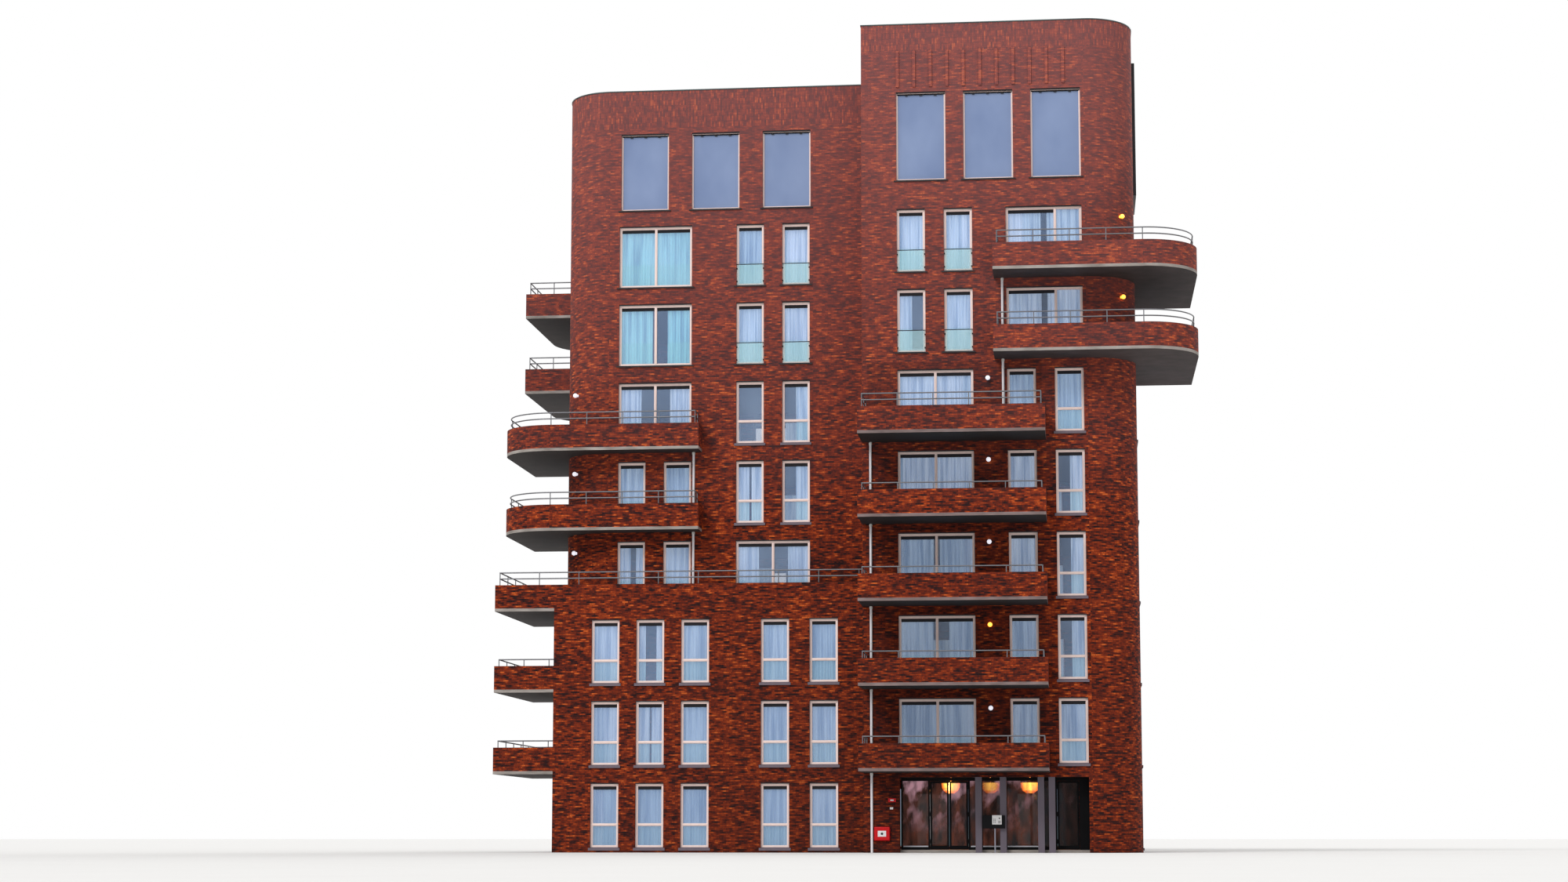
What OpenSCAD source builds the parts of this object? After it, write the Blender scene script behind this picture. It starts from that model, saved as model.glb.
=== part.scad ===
// Brick apartment block: a nine-storey tower, a set-back wing and a three-storey base,
// with wrap-round balconies. Front faces -Y, X runs to the right and Z up.
// X = 0 is the tower's left edge until the last move, which centres the whole block.

/* [Storeys] */
// Floor to floor height
storey_h = 3000; // [2800:50:3200]
// Window sill above the storey's datum
sill_h = 170; // [100:10:300]
// Window head above the storey's datum
head_h = 2530; // [2400:10:2600]
// Floor finish above the storey's datum
floor_up = 100; // [60:10:150]
// Thickness of a floor slab
floor_t = 250; // [180:10:300]

/* [Plan] */
// Width of the tower
tower_w = 10000; // [9500:50:12000]
// Width of the wing and the base, left of the tower
wing_w = 11500; // [11200:50:13000]
// Depth of the block from the tower's front to the rear
depth = 12400; // [12000:100:15000]
// How far the base stands behind the tower's front
base_setback = 800; // [500:50:1000]
// How far the wing stands behind the tower's front
wing_setback = 1850; // [1600:50:2200]
// Thickness of the outer walls
wall_t = 360; // [300:10:420]
// Outer radius of the round corners
corner_r = 1800; // [1200:50:2000]

/* [Top storey] */
// From the top storey's datum to the top of the tower's parapet
top_storey_h = 6500; // [6300:50:7500]
// From the top of the tower's parapet down to the wing's
wing_drop = 1740; // [1300:20:2000]
// Sill of the tower's tall top windows above the storey's datum
tower_sill_h = 600; // [500:10:800]
// From the top of the tower's parapet down to its tall windows' heads
tower_head_drop = 2560; // [2400:10:3000]
// From the top of the tower's parapet down to its side's tall windows' heads
side_head_drop = 1250; // [1100:50:2600]
// Sill of the wing's tall top windows above the storey's datum
wing_sill_h = 140; // [100:10:300]
// From the top of the wing's parapet down to its tall windows' heads
wing_head_drop = 1650; // [1500:10:1900]
// Drop from a parapet's top to the roof finish
parapet_h = 600; // [400:50:800]
// Height of the metal trim on the parapets
trim_h = 40; // [30:5:80]
// Overhang of the metal trim
trim_out = 20; // [10:5:40]

/* [Windows] */
// Width of a single window
single_w = 1040; // [900:10:1100]
// Width of a wide window or sliding door
wide_w = 2770; // [2600:10:2850]
// Width of a tall top window
tall_w = 1820; // [1700:10:1900]
// First bay of the tower, from its left edge
tower_bay_a = 1300; // [1200:10:1400]
// Second bay of the tower, from its left edge
tower_bay_b = 5300; // [5200:10:5330]
// First bay of the wing, from its left wall
wing_bay_a = 2170; // [2100:10:2250]
// Second bay of the wing, from the tower
wing_bay_b = 4870; // [4800:10:5000]
// First window of the base, from its left wall
base_bay_a = 1410; // [1300:10:1500]
// Spacing of the three left windows of the base
base_pitch_a = 1665; // [1600:5:1700]
// First of the two right windows of the base, from the tower
base_bay_b = 3810; // [3700:10:3900]
// Spacing of the two right windows of the base
base_pitch_b = 1790; // [1700:10:1850]
// First tall window of the wing, from its left wall
wing_tall_a = 2220; // [2150:10:2300]
// Spacing of the wing's tall windows
wing_tall_pitch = 2700; // [2600:10:2750]
// First opening of the side walls, from the wall's front end
side_bay_a = 700; // [500:50:900]
// Second opening of the side walls, from the wall's front end
side_bay_b = 5200; // [5000:50:5600]
// Wall beside the first and the last opening of the rear wall
rear_bay = 1000; // [800:50:1200]

/* [Balconies] */
// Thickness of a balcony slab, seen as the light strip
slab_t = 110; // [90:10:180]
// Drop from the storey's datum to the top of a balcony slab
slab_drop = 40; // [0:10:80]
// Height of the brick parapet above the slab
balcony_parapet_h = 830; // [700:10:950]
// Thickness of the brick parapet
balcony_wall_t = 230; // [180:10:250]
// How far the tower's lower balconies stand out
front_out = 2350; // [2000:50:2600]
// Length of the tower's lower balconies
front_len = 6680; // [6600:10:6900]
// How far the round balconies stand out in front
wrap_out = 1650; // [1400:50:1900]
// How far the left round balconies stand out in front of the wing
left_out = 1000; // [800:50:1300]
// How far the left round balconies stand out behind the rear wall
rear_out = 1300; // [1100:50:1500]
// How far the side balconies stand out from the side walls
side_out = 2230; // [2000:10:2400]
// Outer radius of the round balconies
wrap_r = 2000; // [1600:50:2200]
// Left end of the round balconies on the tower
wrap_left = 4850; // [4600:10:5000]
// Right end of the left round balconies, from the wing's left wall
left_right_end = 5350; // [5250:10:5600]
// Rear end of the left side's front balconies
side_back = 8200; // [7600:50:8600]
// Rear end of the right round balconies
right_back = 6500; // [6200:50:6700]
// Front end of the rear side balconies
rear_front = 5900; // [5500:50:6400]

/* [Rails] */
// Radius of the rail tubes
rail_r = 24; // [15:1:30]
// Radius of the rail posts
post_r = 18; // [12:1:24]
// Height of the first rail above the parapet
rail_up = 245; // [200:5:300]
// Spacing from the first rail to the second
rail_step = 225; // [180:5:260]
// How far the rail stands in from the parapet's outer face
rail_in = 150; // [100:5:170]
// Greatest spacing of the posts
post_gap = 1500; // [1000:50:2000]

/* [Entrance] */
// Head of the entrance opening
entrance_head = 2690; // [2550:10:2750]
// How far the entrance glazing stands behind the wall's face
glazing_back = 900; // [700:50:1200]
// Width of the steel posts
entrance_post_w = 230; // [180:10:250]
// First steel post, from the opening's left side
post_a = 2710; // [2600:10:2800]
// Second steel post
post_b = 3590; // [3450:10:3700]
// Third steel post
post_c = 4940; // [4800:10:5000]
// Fourth steel post
post_d = 5330; // [5250:10:5400]
// Width of a frame bar
bar_w = 60; // [50:5:80]
// Depth of a frame bar
bar_d = 80; // [60:5:120]
// Thickness of the glass
glass_t = 12; // [8:1:20]
// Left edge of the double door, from the opening's left side
double_door_x = 1040; // [900:10:1060]
// Width of one leaf of the double door
leaf_w = 680; // [600:10:700]
// Width of the right door's leaf
side_leaf_w = 780; // [700:10:850]
// Thickness of a door leaf
leaf_t = 50; // [40:5:60]
// Gap round a door leaf
leaf_gap = 8; // [6:1:12]
// Gap between the two leaves of the double door
meet_gap = 14; // [12:1:20]
// Width of a leaf's stiles and rails
stile_w = 70; // [50:5:90]
// Radius of a hinge's knuckle
knuckle_r = 12; // [9:1:14]
// Length of a leaf's knuckle
knuckle_l = 80; // [60:5:100]

/* [Details] */
// Outer radius of the downpipes
pipe_r = 45; // [35:1:60]
// Clear gap between a downpipe and the wall
pipe_off = 20; // [10:1:40]
// Radius of a wall lamp's globe
globe_r = 85; // [70:5:120]
// Spacing of the brick ribs over the tall windows
rib_pitch = 610; // [500:10:700]
// Width of a brick rib
rib_w = 110; // [80:5:150]
// How far a brick rib stands out
rib_out = 45; // [20:5:60]
// From the tall windows' heads up to the ribs
rib_over = 180; // [100:10:300]
// From the top of the parapet down to the ribs
rib_drop = 1000; // [800:20:1200]

/* [Hidden] */
$fn = 48;
brick = "firebrick";
top_level = 8;
levels = [0:top_level];
x_left = -wing_w;
x_right = tower_w;
side_run = depth - corner_r;
// Centre of the whole block's box, for the last move
box_x = (x_left - side_out + x_right + side_out) / 2;
box_front = -front_out;
box_back = depth + rear_out;
box_y = (box_front + box_back) / 2;

function datum(level) = storey_h * level;
tower_top = datum(top_level) + top_storey_h;
tower_top_sill = datum(top_level) + tower_sill_h;
tower_top_head = tower_top - tower_head_drop;
wing_top = tower_top - wing_drop;
wing_top_sill = datum(top_level) + wing_sill_h;
wing_top_head = wing_top - wing_head_drop;
wing_roof_z = wing_top - parapet_h;
terrace_z = datum(3) + floor_up;
function flat(list) = [for (row = list) for (item = row) item];
function row(level, openings) = [datum(level) + sill_h, datum(level) + head_h, openings];
function span(x, w) = [x, x + w];

// Openings of each front, storey by storey, as spans measured from the wall's left end
wide_a = span(tower_bay_a, wide_w);
wide_b = span(tower_bay_b, wide_w);
single_b = span(tower_bay_b, single_w);
single_b_end = span(tower_bay_b + wide_w - single_w, single_w);
single_a = span(tower_bay_a, single_w);
single_a_end = span(tower_bay_a + wide_w - single_w, single_w);
tall_gap = (tower_bay_b + wide_w - tower_bay_a - 3 * tall_w) / 2;
tower_rows = concat(
    [[0, entrance_head, [[tower_bay_a, tower_bay_b + wide_w]]]],
    [for (level = [1:5]) row(level, [wide_a, single_b, single_b_end])],
    [for (level = [6:7]) row(level, [single_a, single_a_end, wide_b])],
    [[tower_top_sill, tower_top_head, [for (i = [0:2]) span(tower_bay_a + i * (tall_w + tall_gap), tall_w)]]]
);
tower_front_len = tower_w - corner_r;

wing_start = corner_r;
function wing_wide(x) = span(x - wing_start, wide_w);
function wing_single(x) = span(x - wing_start, single_w);
wing_b_x = wing_w - wing_bay_b;
wing_pair_b = [wing_single(wing_b_x), wing_single(wing_b_x + wide_w - single_w)];
wing_pair_a = [wing_single(wing_bay_a), wing_single(wing_bay_a + wide_w - single_w)];
wing_rows = concat(
    [row(3, concat(wing_pair_a, [wing_wide(wing_b_x)]))],
    [row(4, concat(wing_pair_a, wing_pair_b))],
    [for (level = [5:7]) row(level, concat([wing_wide(wing_bay_a)], wing_pair_b))],
    [[wing_top_sill, wing_top_head,
        [for (i = [0:2]) span(wing_tall_a - wing_start + i * wing_tall_pitch, tall_w)]]]
);
wing_front_len = wing_w - wing_start;

base_front_start = wall_t;
base_spans = concat(
    [for (i = [0:2]) span(base_bay_a - base_front_start + i * base_pitch_a, single_w)],
    [for (i = [0:1]) span(wing_w - base_bay_b - base_front_start + i * base_pitch_b, single_w)]
);
base_rows = [for (level = [0:2]) row(level, base_spans)];
base_front_len = wing_w - base_front_start;

// Side walls run from the round front corner to the round rear corner
side_spans = [span(side_bay_a, wide_w), span(side_bay_b, single_w)];
right_side_len = depth - 2 * corner_r;
right_rows = concat(
    [for (level = [0:7]) row(level, side_spans)],
    [[tower_top_sill, tower_top - side_head_drop, side_spans]]
);
wing_side_len = depth - corner_r - wing_setback - corner_r;
side_low_spans = [span(side_bay_a, wide_w), span(wing_side_len - side_bay_a - single_w, single_w)];
side_high_spans = [span(side_bay_a, single_w), span(wing_side_len - side_bay_a - wide_w, wide_w)];
wing_side_rows = concat(
    [for (level = [3:5]) row(level, side_low_spans)],
    [for (level = [6:7]) row(level, side_high_spans)],
    [[wing_top_sill, wing_top_head, side_high_spans]]
);
base_side_len = depth - corner_r - base_setback - wall_t;
base_side_more = base_side_len - wing_side_len;
base_side_spans = [for (s = side_low_spans) [s[0] + base_side_more, s[1] + base_side_more]];
base_side_rows = [for (level = [0:2]) row(level, base_side_spans)];

rear_len = wing_w + tower_w - 2 * corner_r;
rear_pitch = (rear_len - 2 * rear_bay - wide_w) / 4;
rear_spans = [for (i = [0:4]) span(rear_bay + i * rear_pitch, i == 2 ? single_w : wide_w)];
// The rear balconies end on the pier between the last two rear openings
rear_right_x = x_right - corner_r - rear_bay - 3.5 * rear_pitch - (wide_w - balcony_wall_t) / 2;
rear_rows = concat(
    [for (level = [0:7]) row(level, rear_spans)],
    [[wing_top_sill, wing_top_head, rear_spans]]
);

// The wall stands along local X from 0 to length, and is wall_t thick along +Y
module piers(length, rows) {
    for (r = rows) {
        edges = concat([0], flat(r[2]), [length]);
        for (i = [0:2:len(edges) - 1])
            translate([edges[i], 0, r[0]])
                cube([edges[i + 1] - edges[i], wall_t, r[1] - r[0]]);
    }
}

module spandrels(length, rows, bottom, top) {
    heads = concat([bottom], [for (r = rows) r[1]]);
    sills = concat([for (r = rows) r[0]], [top]);
    for (i = [0:len(heads) - 1])
        if (sills[i] > heads[i])
            translate([0, 0, heads[i]])
                cube([length, wall_t, sills[i] - heads[i]]);
}

module at_right_side() translate([x_right, corner_r, 0]) rotate([0, 0, 90]) children();
module at_wing_front() translate([x_left + corner_r, wing_setback, 0]) children();
module at_base_front() translate([x_left + base_front_start, base_setback, 0]) children();
module at_left_side() translate([x_left, side_run, 0]) rotate([0, 0, -90]) children();
module at_rear() translate([x_right - corner_r, depth, 0]) rotate([0, 0, 180]) children();

function reversed(length, rows) =
    [for (r = rows) [r[0], r[1], [for (i = [len(r[2]) - 1:-1:0]) [length - r[2][i][1], length - r[2][i][0]]]]];

module tower_piers() {
    color(brick) {
        piers(tower_front_len, tower_rows);
        at_right_side() piers(right_side_len, right_rows);
    }
}

// With the tower's part of the rear parapet, which stands on the rear wall
module tower_spandrels() {
    color(brick) {
        spandrels(tower_front_len, tower_rows, 0, tower_top);
        at_right_side() spandrels(right_side_len, right_rows, 0, tower_top);
        at_rear() translate([0, 0, wing_top]) cube([tower_w - corner_r, wall_t, tower_top - wing_top]);
    }
}

module wing_piers() {
    color(brick) {
        at_wing_front() piers(wing_front_len, wing_rows);
        at_left_side() piers(wing_side_len, reversed(wing_side_len, wing_side_rows));
    }
}

module wing_spandrels() {
    color(brick) {
        at_wing_front() spandrels(wing_front_len, wing_rows, terrace_z, wing_top);
        at_left_side() spandrels(wing_side_len, reversed(wing_side_len, wing_side_rows), terrace_z, wing_top);
    }
}

module base_piers() {
    color(brick) {
        at_base_front() piers(base_front_len, base_rows);
        at_left_side() piers(base_side_len, reversed(base_side_len, base_side_rows));
    }
}

module base_spandrels() {
    color(brick) {
        at_base_front() spandrels(base_front_len, base_rows, 0, datum(3) + balcony_parapet_h);
        at_left_side() spandrels(base_side_len, reversed(base_side_len, base_side_rows), 0, terrace_z);
    }
}

module rear_piers() {
    color(brick)
        at_rear() piers(rear_len, rear_rows);
}

module rear_spandrels() {
    color(brick)
        at_rear() spandrels(rear_len, rear_rows, 0, wing_top);
}

module quarter_ring(outer, thick, height) {
    intersection() {
        difference() {
            cylinder(r = outer, h = height, $fn = 96);
            translate([0, 0, -1]) cylinder(r = outer - thick, h = height + 2, $fn = 96);
        }
        translate([0, 0, -1]) cube([outer + 1, outer + 1, height + 2]);
    }
}

module round_corners() {
    color(brick) {
        translate([x_right - corner_r, corner_r, 0])
            rotate([0, 0, -90]) quarter_ring(corner_r, wall_t, tower_top);
        translate([x_left + corner_r, wing_setback + corner_r, terrace_z])
            rotate([0, 0, 180]) quarter_ring(corner_r, wall_t, wing_top - terrace_z);
        translate([x_right - corner_r, side_run, 0])
            quarter_ring(corner_r, wall_t, tower_top);
        translate([x_left + corner_r, side_run, 0])
            rotate([0, 0, 90]) quarter_ring(corner_r, wall_t, wing_top);
    }
}

module base_corner() {
    color(brick)
        translate([x_left, base_setback, 0])
            cube([wall_t, wall_t, datum(3) + balcony_parapet_h]);
}

// The tower's left wall: the step back to the wing, and the wall that stands on the wing's roof
module tower_left_wall() {
    color(brick) {
        translate([0, wall_t, 0]) cube([wall_t, wing_setback, tower_top]);
        translate([0, wing_setback, wing_roof_z])
            cube([wall_t, depth - wall_t - wing_setback, tower_top - wing_roof_z]);
    }
}

// Plans inside the outer walls; the round corners keep the wall's inner radius
module tower_plate(thick) {
    inner_r = corner_r - wall_t;
    linear_extrude(thick) {
        translate([wall_t, wall_t]) square([tower_w - wall_t - corner_r, depth - 2 * wall_t]);
        translate([wall_t, corner_r]) square([tower_w - 2 * wall_t, depth - 2 * corner_r]);
        translate([x_right - corner_r, corner_r]) circle(inner_r, $fn = 96);
        translate([x_right - corner_r, side_run]) circle(inner_r, $fn = 96);
    }
}

// The wing's plates reach over the line of the tower's left wall, behind the step back
module wing_plate(thick, front, corner) {
    inner_r = corner_r - wall_t;
    side_front = front + (corner ? corner_r : wall_t);
    linear_extrude(thick)
        difference() {
            union() {
                translate([x_left + corner_r, front + wall_t])
                    square([wing_w - corner_r + wall_t, depth - 2 * wall_t - front]);
                translate([x_left + wall_t, side_front])
                    square([corner_r, side_run - side_front]);
                translate([x_left + corner_r, side_run]) circle(inner_r, $fn = 96);
                if (corner)
                    translate([x_left + corner_r, front + corner_r]) circle(inner_r, $fn = 96);
            }
            square([2 * wall_t, wing_setback + wall_t]);
        }
}

module tower_floors() {
    color("silver")
        for (level = levels)
            translate([0, 0, max(0, datum(level) + floor_up - floor_t)])
                tower_plate(level == 0 ? floor_up : floor_t);
}

module wing_floors() {
    color("silver")
        for (level = levels)
            translate([0, 0, max(0, datum(level) + floor_up - floor_t)])
                wing_plate(level == 0 ? floor_up : floor_t, level <= 3 ? base_setback : wing_setback, level > 3);
}

module tower_roof() {
    color("dimgray")
        translate([0, 0, tower_top - parapet_h - floor_t])
            tower_plate(floor_t);
}

module wing_roof() {
    color("dimgray")
        translate([0, 0, wing_roof_z - floor_t])
            wing_plate(floor_t, wing_setback, true);
}

// Outlines of the two parapets' outer faces, for the trim
module tower_outline(grow) {
    union() {
        translate([-grow, -grow]) square([tower_w - corner_r + grow, depth + 2 * grow]);
        translate([-grow, corner_r]) square([tower_w + 2 * grow, depth - 2 * corner_r]);
        translate([x_right - corner_r, corner_r]) circle(corner_r + grow, $fn = 96);
        translate([x_right - corner_r, side_run]) circle(corner_r + grow, $fn = 96);
    }
}

module wing_outline(grow) {
    difference() {
        union() {
            translate([x_left + corner_r, wing_setback - grow])
                square([wing_w - corner_r, depth - wing_setback + 2 * grow]);
            translate([x_left - grow, wing_setback + corner_r])
                square([corner_r + grow, depth - wing_setback - 2 * corner_r]);
            translate([x_left + corner_r, wing_setback + corner_r]) circle(corner_r + grow, $fn = 96);
            translate([x_left + corner_r, side_run]) circle(corner_r + grow, $fn = 96);
        }
        translate([0, -depth]) square([depth, 3 * depth]);
    }
}

module roof_trim() {
    color("dimgray") {
        translate([0, 0, tower_top])
            linear_extrude(trim_h)
                difference() {
                    tower_outline(trim_out);
                    tower_outline(-wall_t - trim_out);
                }
        translate([0, 0, wing_top])
            linear_extrude(trim_h)
                difference() {
                    wing_outline(trim_out);
                    wing_outline(-wall_t - trim_out);
                }
    }
}

// Balcony outlines, each a face of the slab seen from above
module front_outline(inset) {
    translate([inset, inset - front_out])
        square([front_len - 2 * inset, front_out - inset]);
}

module upper_outline() {
    tower_outline(0);
    wing_outline(0);
}

module right_outline(inset) {
    r = wrap_r - inset;
    difference() {
        union() {
            translate([wrap_left + inset, -wrap_out + inset])
                square([x_right + side_out - wrap_r - wrap_left - inset, right_back + wrap_out - 2 * inset]);
            translate([wrap_left + inset, -wrap_out + wrap_r])
                square([x_right + side_out - wrap_left - 2 * inset, right_back + wrap_out - wrap_r - inset]);
            translate([x_right + side_out - wrap_r, wrap_r - wrap_out]) circle(r, $fn = 96);
        }
        upper_outline();
    }
}

module left_outline(inset) {
    r = wrap_r - inset;
    front = wing_setback - left_out;
    left = x_left - side_out;
    difference() {
        union() {
            translate([left + wrap_r, front + inset])
                square([left_right_end + side_out - wrap_r - inset, side_back - front - 2 * inset]);
            translate([left + inset, front + wrap_r])
                square([left_right_end + side_out - 2 * inset, side_back - front - wrap_r - inset]);
            translate([left + wrap_r, front + wrap_r]) circle(r, $fn = 96);
        }
        upper_outline();
    }
}

module side_outline(inset) {
    translate([x_left - side_out + inset, base_setback + inset])
        square([side_out - inset, side_back - base_setback - 2 * inset]);
}

module rear_outline(inset) {
    r = wrap_r - inset;
    back = depth + rear_out;
    left = x_left - side_out;
    difference() {
        union() {
            translate([left + inset, rear_front + inset])
                square([rear_right_x - left - 2 * inset, back - wrap_r - rear_front - inset]);
            translate([left + wrap_r, rear_front + inset])
                square([rear_right_x - left - wrap_r - inset, back - rear_front - 2 * inset]);
            translate([left + wrap_r, back - wrap_r]) circle(r, $fn = 96);
        }
        upper_outline();
    }
}

function slab_low(level) = datum(level) - slab_drop - slab_t;
module slab_at(level) {
    translate([0, 0, slab_low(level)])
        linear_extrude(slab_t)
            children();
}

module parapet_at(level) {
    translate([0, 0, datum(level) - slab_drop])
        linear_extrude(balcony_parapet_h + slab_drop)
            difference() {
                children(0);
                children(1);
            }
}

module front_balcony_slabs() {
    color("lightgray")
        for (level = [1:5])
            slab_at(level) front_outline(0);
}

module front_balcony_parapets() {
    color(brick)
        for (level = [1:5])
            parapet_at(level) {
                front_outline(0);
                front_outline(balcony_wall_t);
            }
}

module right_balcony_slabs() {
    color("lightgray")
        for (level = [6:7])
            slab_at(level) right_outline(0);
}

module right_balcony_parapets() {
    color(brick)
        for (level = [6:7])
            parapet_at(level) {
                right_outline(0);
                right_outline(balcony_wall_t);
            }
}

module left_balcony_slabs() {
    color("lightgray")
        for (level = [4:5])
            slab_at(level) left_outline(0);
}

module left_balcony_parapets() {
    color(brick)
        for (level = [4:5])
            parapet_at(level) {
                left_outline(0);
                left_outline(balcony_wall_t);
            }
}

module side_balcony_slabs() {
    color("lightgray")
        for (level = [1:3])
            slab_at(level) side_outline(0);
}

module side_balcony_parapets() {
    color(brick)
        for (level = [1:3])
            parapet_at(level) {
                side_outline(0);
                side_outline(balcony_wall_t);
            }
}

module rear_balcony_slabs() {
    color("lightgray")
        for (level = [6:7])
            slab_at(level) rear_outline(0);
}

module rear_balcony_parapets() {
    color(brick)
        for (level = [6:7])
            parapet_at(level) {
                rear_outline(0);
                rear_outline(balcony_wall_t);
            }
}

// A straight tube between two points of the plan, at one height
module tube(a, b) {
    run = norm(b - a);
    angle = atan2(b[1] - a[1], b[0] - a[0]);
    translate([a[0], a[1], 0])
        rotate([0, 0, angle])
            rotate([0, 90, 0])
                cylinder(r = rail_r, h = run, $fn = 16);
}

module knee(p) translate([p[0], p[1], 0]) sphere(rail_r, $fn = 16);

// A quarter bend of the rail about a centre, from one angle over the next 90 degrees
module bend(centre, r, from) {
    translate([centre[0], centre[1], 0])
        rotate([0, 0, from])
            rotate_extrude(angle = 90, $fn = 96)
                translate([r, 0]) circle(rail_r, $fn = 16);
}

module posts_between(a, b, height) {
    run = norm(b - a);
    count = ceil(run / post_gap);
    for (i = [0:count])
        translate([a[0] + (b[0] - a[0]) * i / count, a[1] + (b[1] - a[1]) * i / count, 0])
            cylinder(r = post_r, h = height, $fn = 16);
}

function rail_heights(count) = [for (i = [0:count - 1]) rail_up + i * rail_step];

module rail_run(points, count) {
    top = rail_up + (count - 1) * rail_step;
    for (z = rail_heights(count))
        translate([0, 0, z])
            for (i = [0:len(points) - 2]) {
                tube(points[i], points[i + 1]);
                if (i > 0) knee(points[i]);
            }
    for (i = [0:len(points) - 2])
        posts_between(inner_post(points, i, 0), inner_post(points, i, 1), top);
}

// Posts keep clear of the walls at the two ends of a run
post_clear = 200;
function along(a, b, d) = a + (b - a) * d / norm(b - a);
function inner_post(points, i, end) =
    end == 0
        ? (i == 0 ? along(points[0], points[1], post_clear) : points[i])
        : (i == len(points) - 2 ? along(points[i + 1], points[i], post_clear) : points[i + 1]);

module on_parapet(level) translate([0, 0, datum(level) + balcony_parapet_h]) children();

module front_balcony_rails() {
    left = rail_in;
    right = front_len - rail_in;
    front = rail_in - front_out;
    color("gray")
        for (level = [1:5])
            on_parapet(level)
                rail_run([[left, 0], [left, front], [right, front], [right, 0]], level == 5 ? 2 : 1);
}

// A rail round one round corner: a straight run, a quarter bend and a straight run back
module wrap_rail(start, centre, from, finish_a, finish_b, first, last, count) {
    r = wrap_r - rail_in;
    top = rail_up + (count - 1) * rail_step;
    for (z = rail_heights(count))
        translate([0, 0, z]) {
            tube(start, first);
            knee(first);
            tube(first, finish_a);
            bend(centre, r, from);
            tube(finish_b, last[0]);
            knee(last[0]);
            tube(last[0], last[1]);
        }
    posts_between(along(start, first, post_clear), first, top);
    posts_between(first, finish_a, top);
    posts_between(finish_b, last[0], top);
    posts_between(last[0], along(last[1], last[0], post_clear), top);
}

module right_balcony_rails() {
    front = rail_in - wrap_out;
    edge = x_right + side_out - rail_in;
    centre = [x_right + side_out - wrap_r, wrap_r - wrap_out];
    back = right_back - rail_in;
    color("gray")
        for (level = [6:7])
            on_parapet(level)
                wrap_rail([wrap_left + rail_in, 0], centre, -90, [centre[0], front], [edge, centre[1]],
                    [wrap_left + rail_in, front], [[edge, back], [x_right, back]], 2);
}

module left_balcony_rails() {
    front = wing_setback - left_out + rail_in;
    edge = x_left - side_out + rail_in;
    centre = [x_left - side_out + wrap_r, wing_setback - left_out + wrap_r];
    back = side_back - rail_in;
    right = x_left + left_right_end - rail_in;
    color("gray")
        for (level = [4:5])
            on_parapet(level)
                wrap_rail([right, wing_setback], centre, 180, [centre[0], front], [edge, centre[1]],
                    [right, front], [[edge, back], [x_left, back]], 2);
}

module rear_balcony_rails() {
    front = rear_front + rail_in;
    edge = x_left - side_out + rail_in;
    back = depth + rear_out - rail_in;
    centre = [x_left - side_out + wrap_r, depth + rear_out - wrap_r];
    right = rear_right_x - rail_in;
    color("gray")
        for (level = [6:7])
            on_parapet(level)
                wrap_rail([right, depth], centre, 90, [centre[0], back], [edge, centre[1]],
                    [right, back], [[edge, front], [x_left, front]], 2);
}

// The terrace rail on the base's parapet carries on round the third side balcony
module side_balcony_rails() {
    front = base_setback + rail_in;
    left = x_left - side_out + rail_in;
    back = side_back - rail_in;
    color("gray") {
        for (level = [1:2])
            on_parapet(level)
                rail_run([[x_left, front], [left, front], [left, back], [x_left, back]], 1);
        on_parapet(3)
            rail_run([[0, front], [left, front], [left, back], [x_left, back]], 2);
    }
}

// A pipe against a wall at x, from one height to another
module pipe(x, y, low, high) {
    translate([x, y - pipe_off - pipe_r, low])
        cylinder(r = pipe_r, h = high - low, $fn = 24);
}

pipe_in = 75;
pipe_x = balcony_wall_t + pipe_in;
upper_pipe_x = wrap_left + balcony_wall_t + pipe_in;
left_pipe_x = x_left + left_right_end - balcony_wall_t - pipe_in;
function pipe_low(level) = level == 1 ? 0 : datum(level - 1) - slab_drop;
module downpipes() {
    color("white") {
        for (level = [1:5])
            pipe(pipe_x, 0, pipe_low(level), slab_low(level));
        for (level = [6:7])
            pipe(upper_pipe_x, 0, pipe_low(level), slab_low(level));
        pipe(left_pipe_x, wing_setback, pipe_low(5), slab_low(5));
        pipe(left_pipe_x, wing_setback, terrace_z, slab_low(4));
    }
}

// A globe lamp on a short round back plate, on a wall whose face is at the origin and faces -Y
module globe() {
    rotate([90, 0, 0]) cylinder(r = globe_r * 0.6, h = lamp_plate, $fn = 24);
    translate([0, -lamp_plate - globe_r * 0.8, 0]) sphere(globe_r, $fn = 24);
}

lamp_plate = 50;
lamp_in = 700;
lamp_x = tower_bay_b - lamp_in;
lamp_up = 2150;
module wall_lamps() {
    color("ivory") {
        for (level = [1:5])
            translate([lamp_x, 0, datum(level) + lamp_up]) globe();
        for (level = [6:7])
            translate([x_right - corner_r, corner_r, datum(level) + lamp_up])
                rotate([0, 0, 45]) translate([0, -corner_r, 0]) globe();
        for (level = [3:5])
            translate([x_left + corner_r, wing_setback + corner_r, datum(level) + lamp_up])
                rotate([0, 0, -45]) translate([0, -corner_r, 0]) globe();
    }
}

rib_low = tower_top_head + rib_over;
rib_high = tower_top - rib_drop;
module brick_ribs() {
    color(brick)
        for (x = [tower_bay_a:rib_pitch:tower_bay_b + wide_w - rib_w])
            translate([x, -rib_out, rib_low])
                cube([rib_w, rib_out, rib_high - rib_low]);
}

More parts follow.
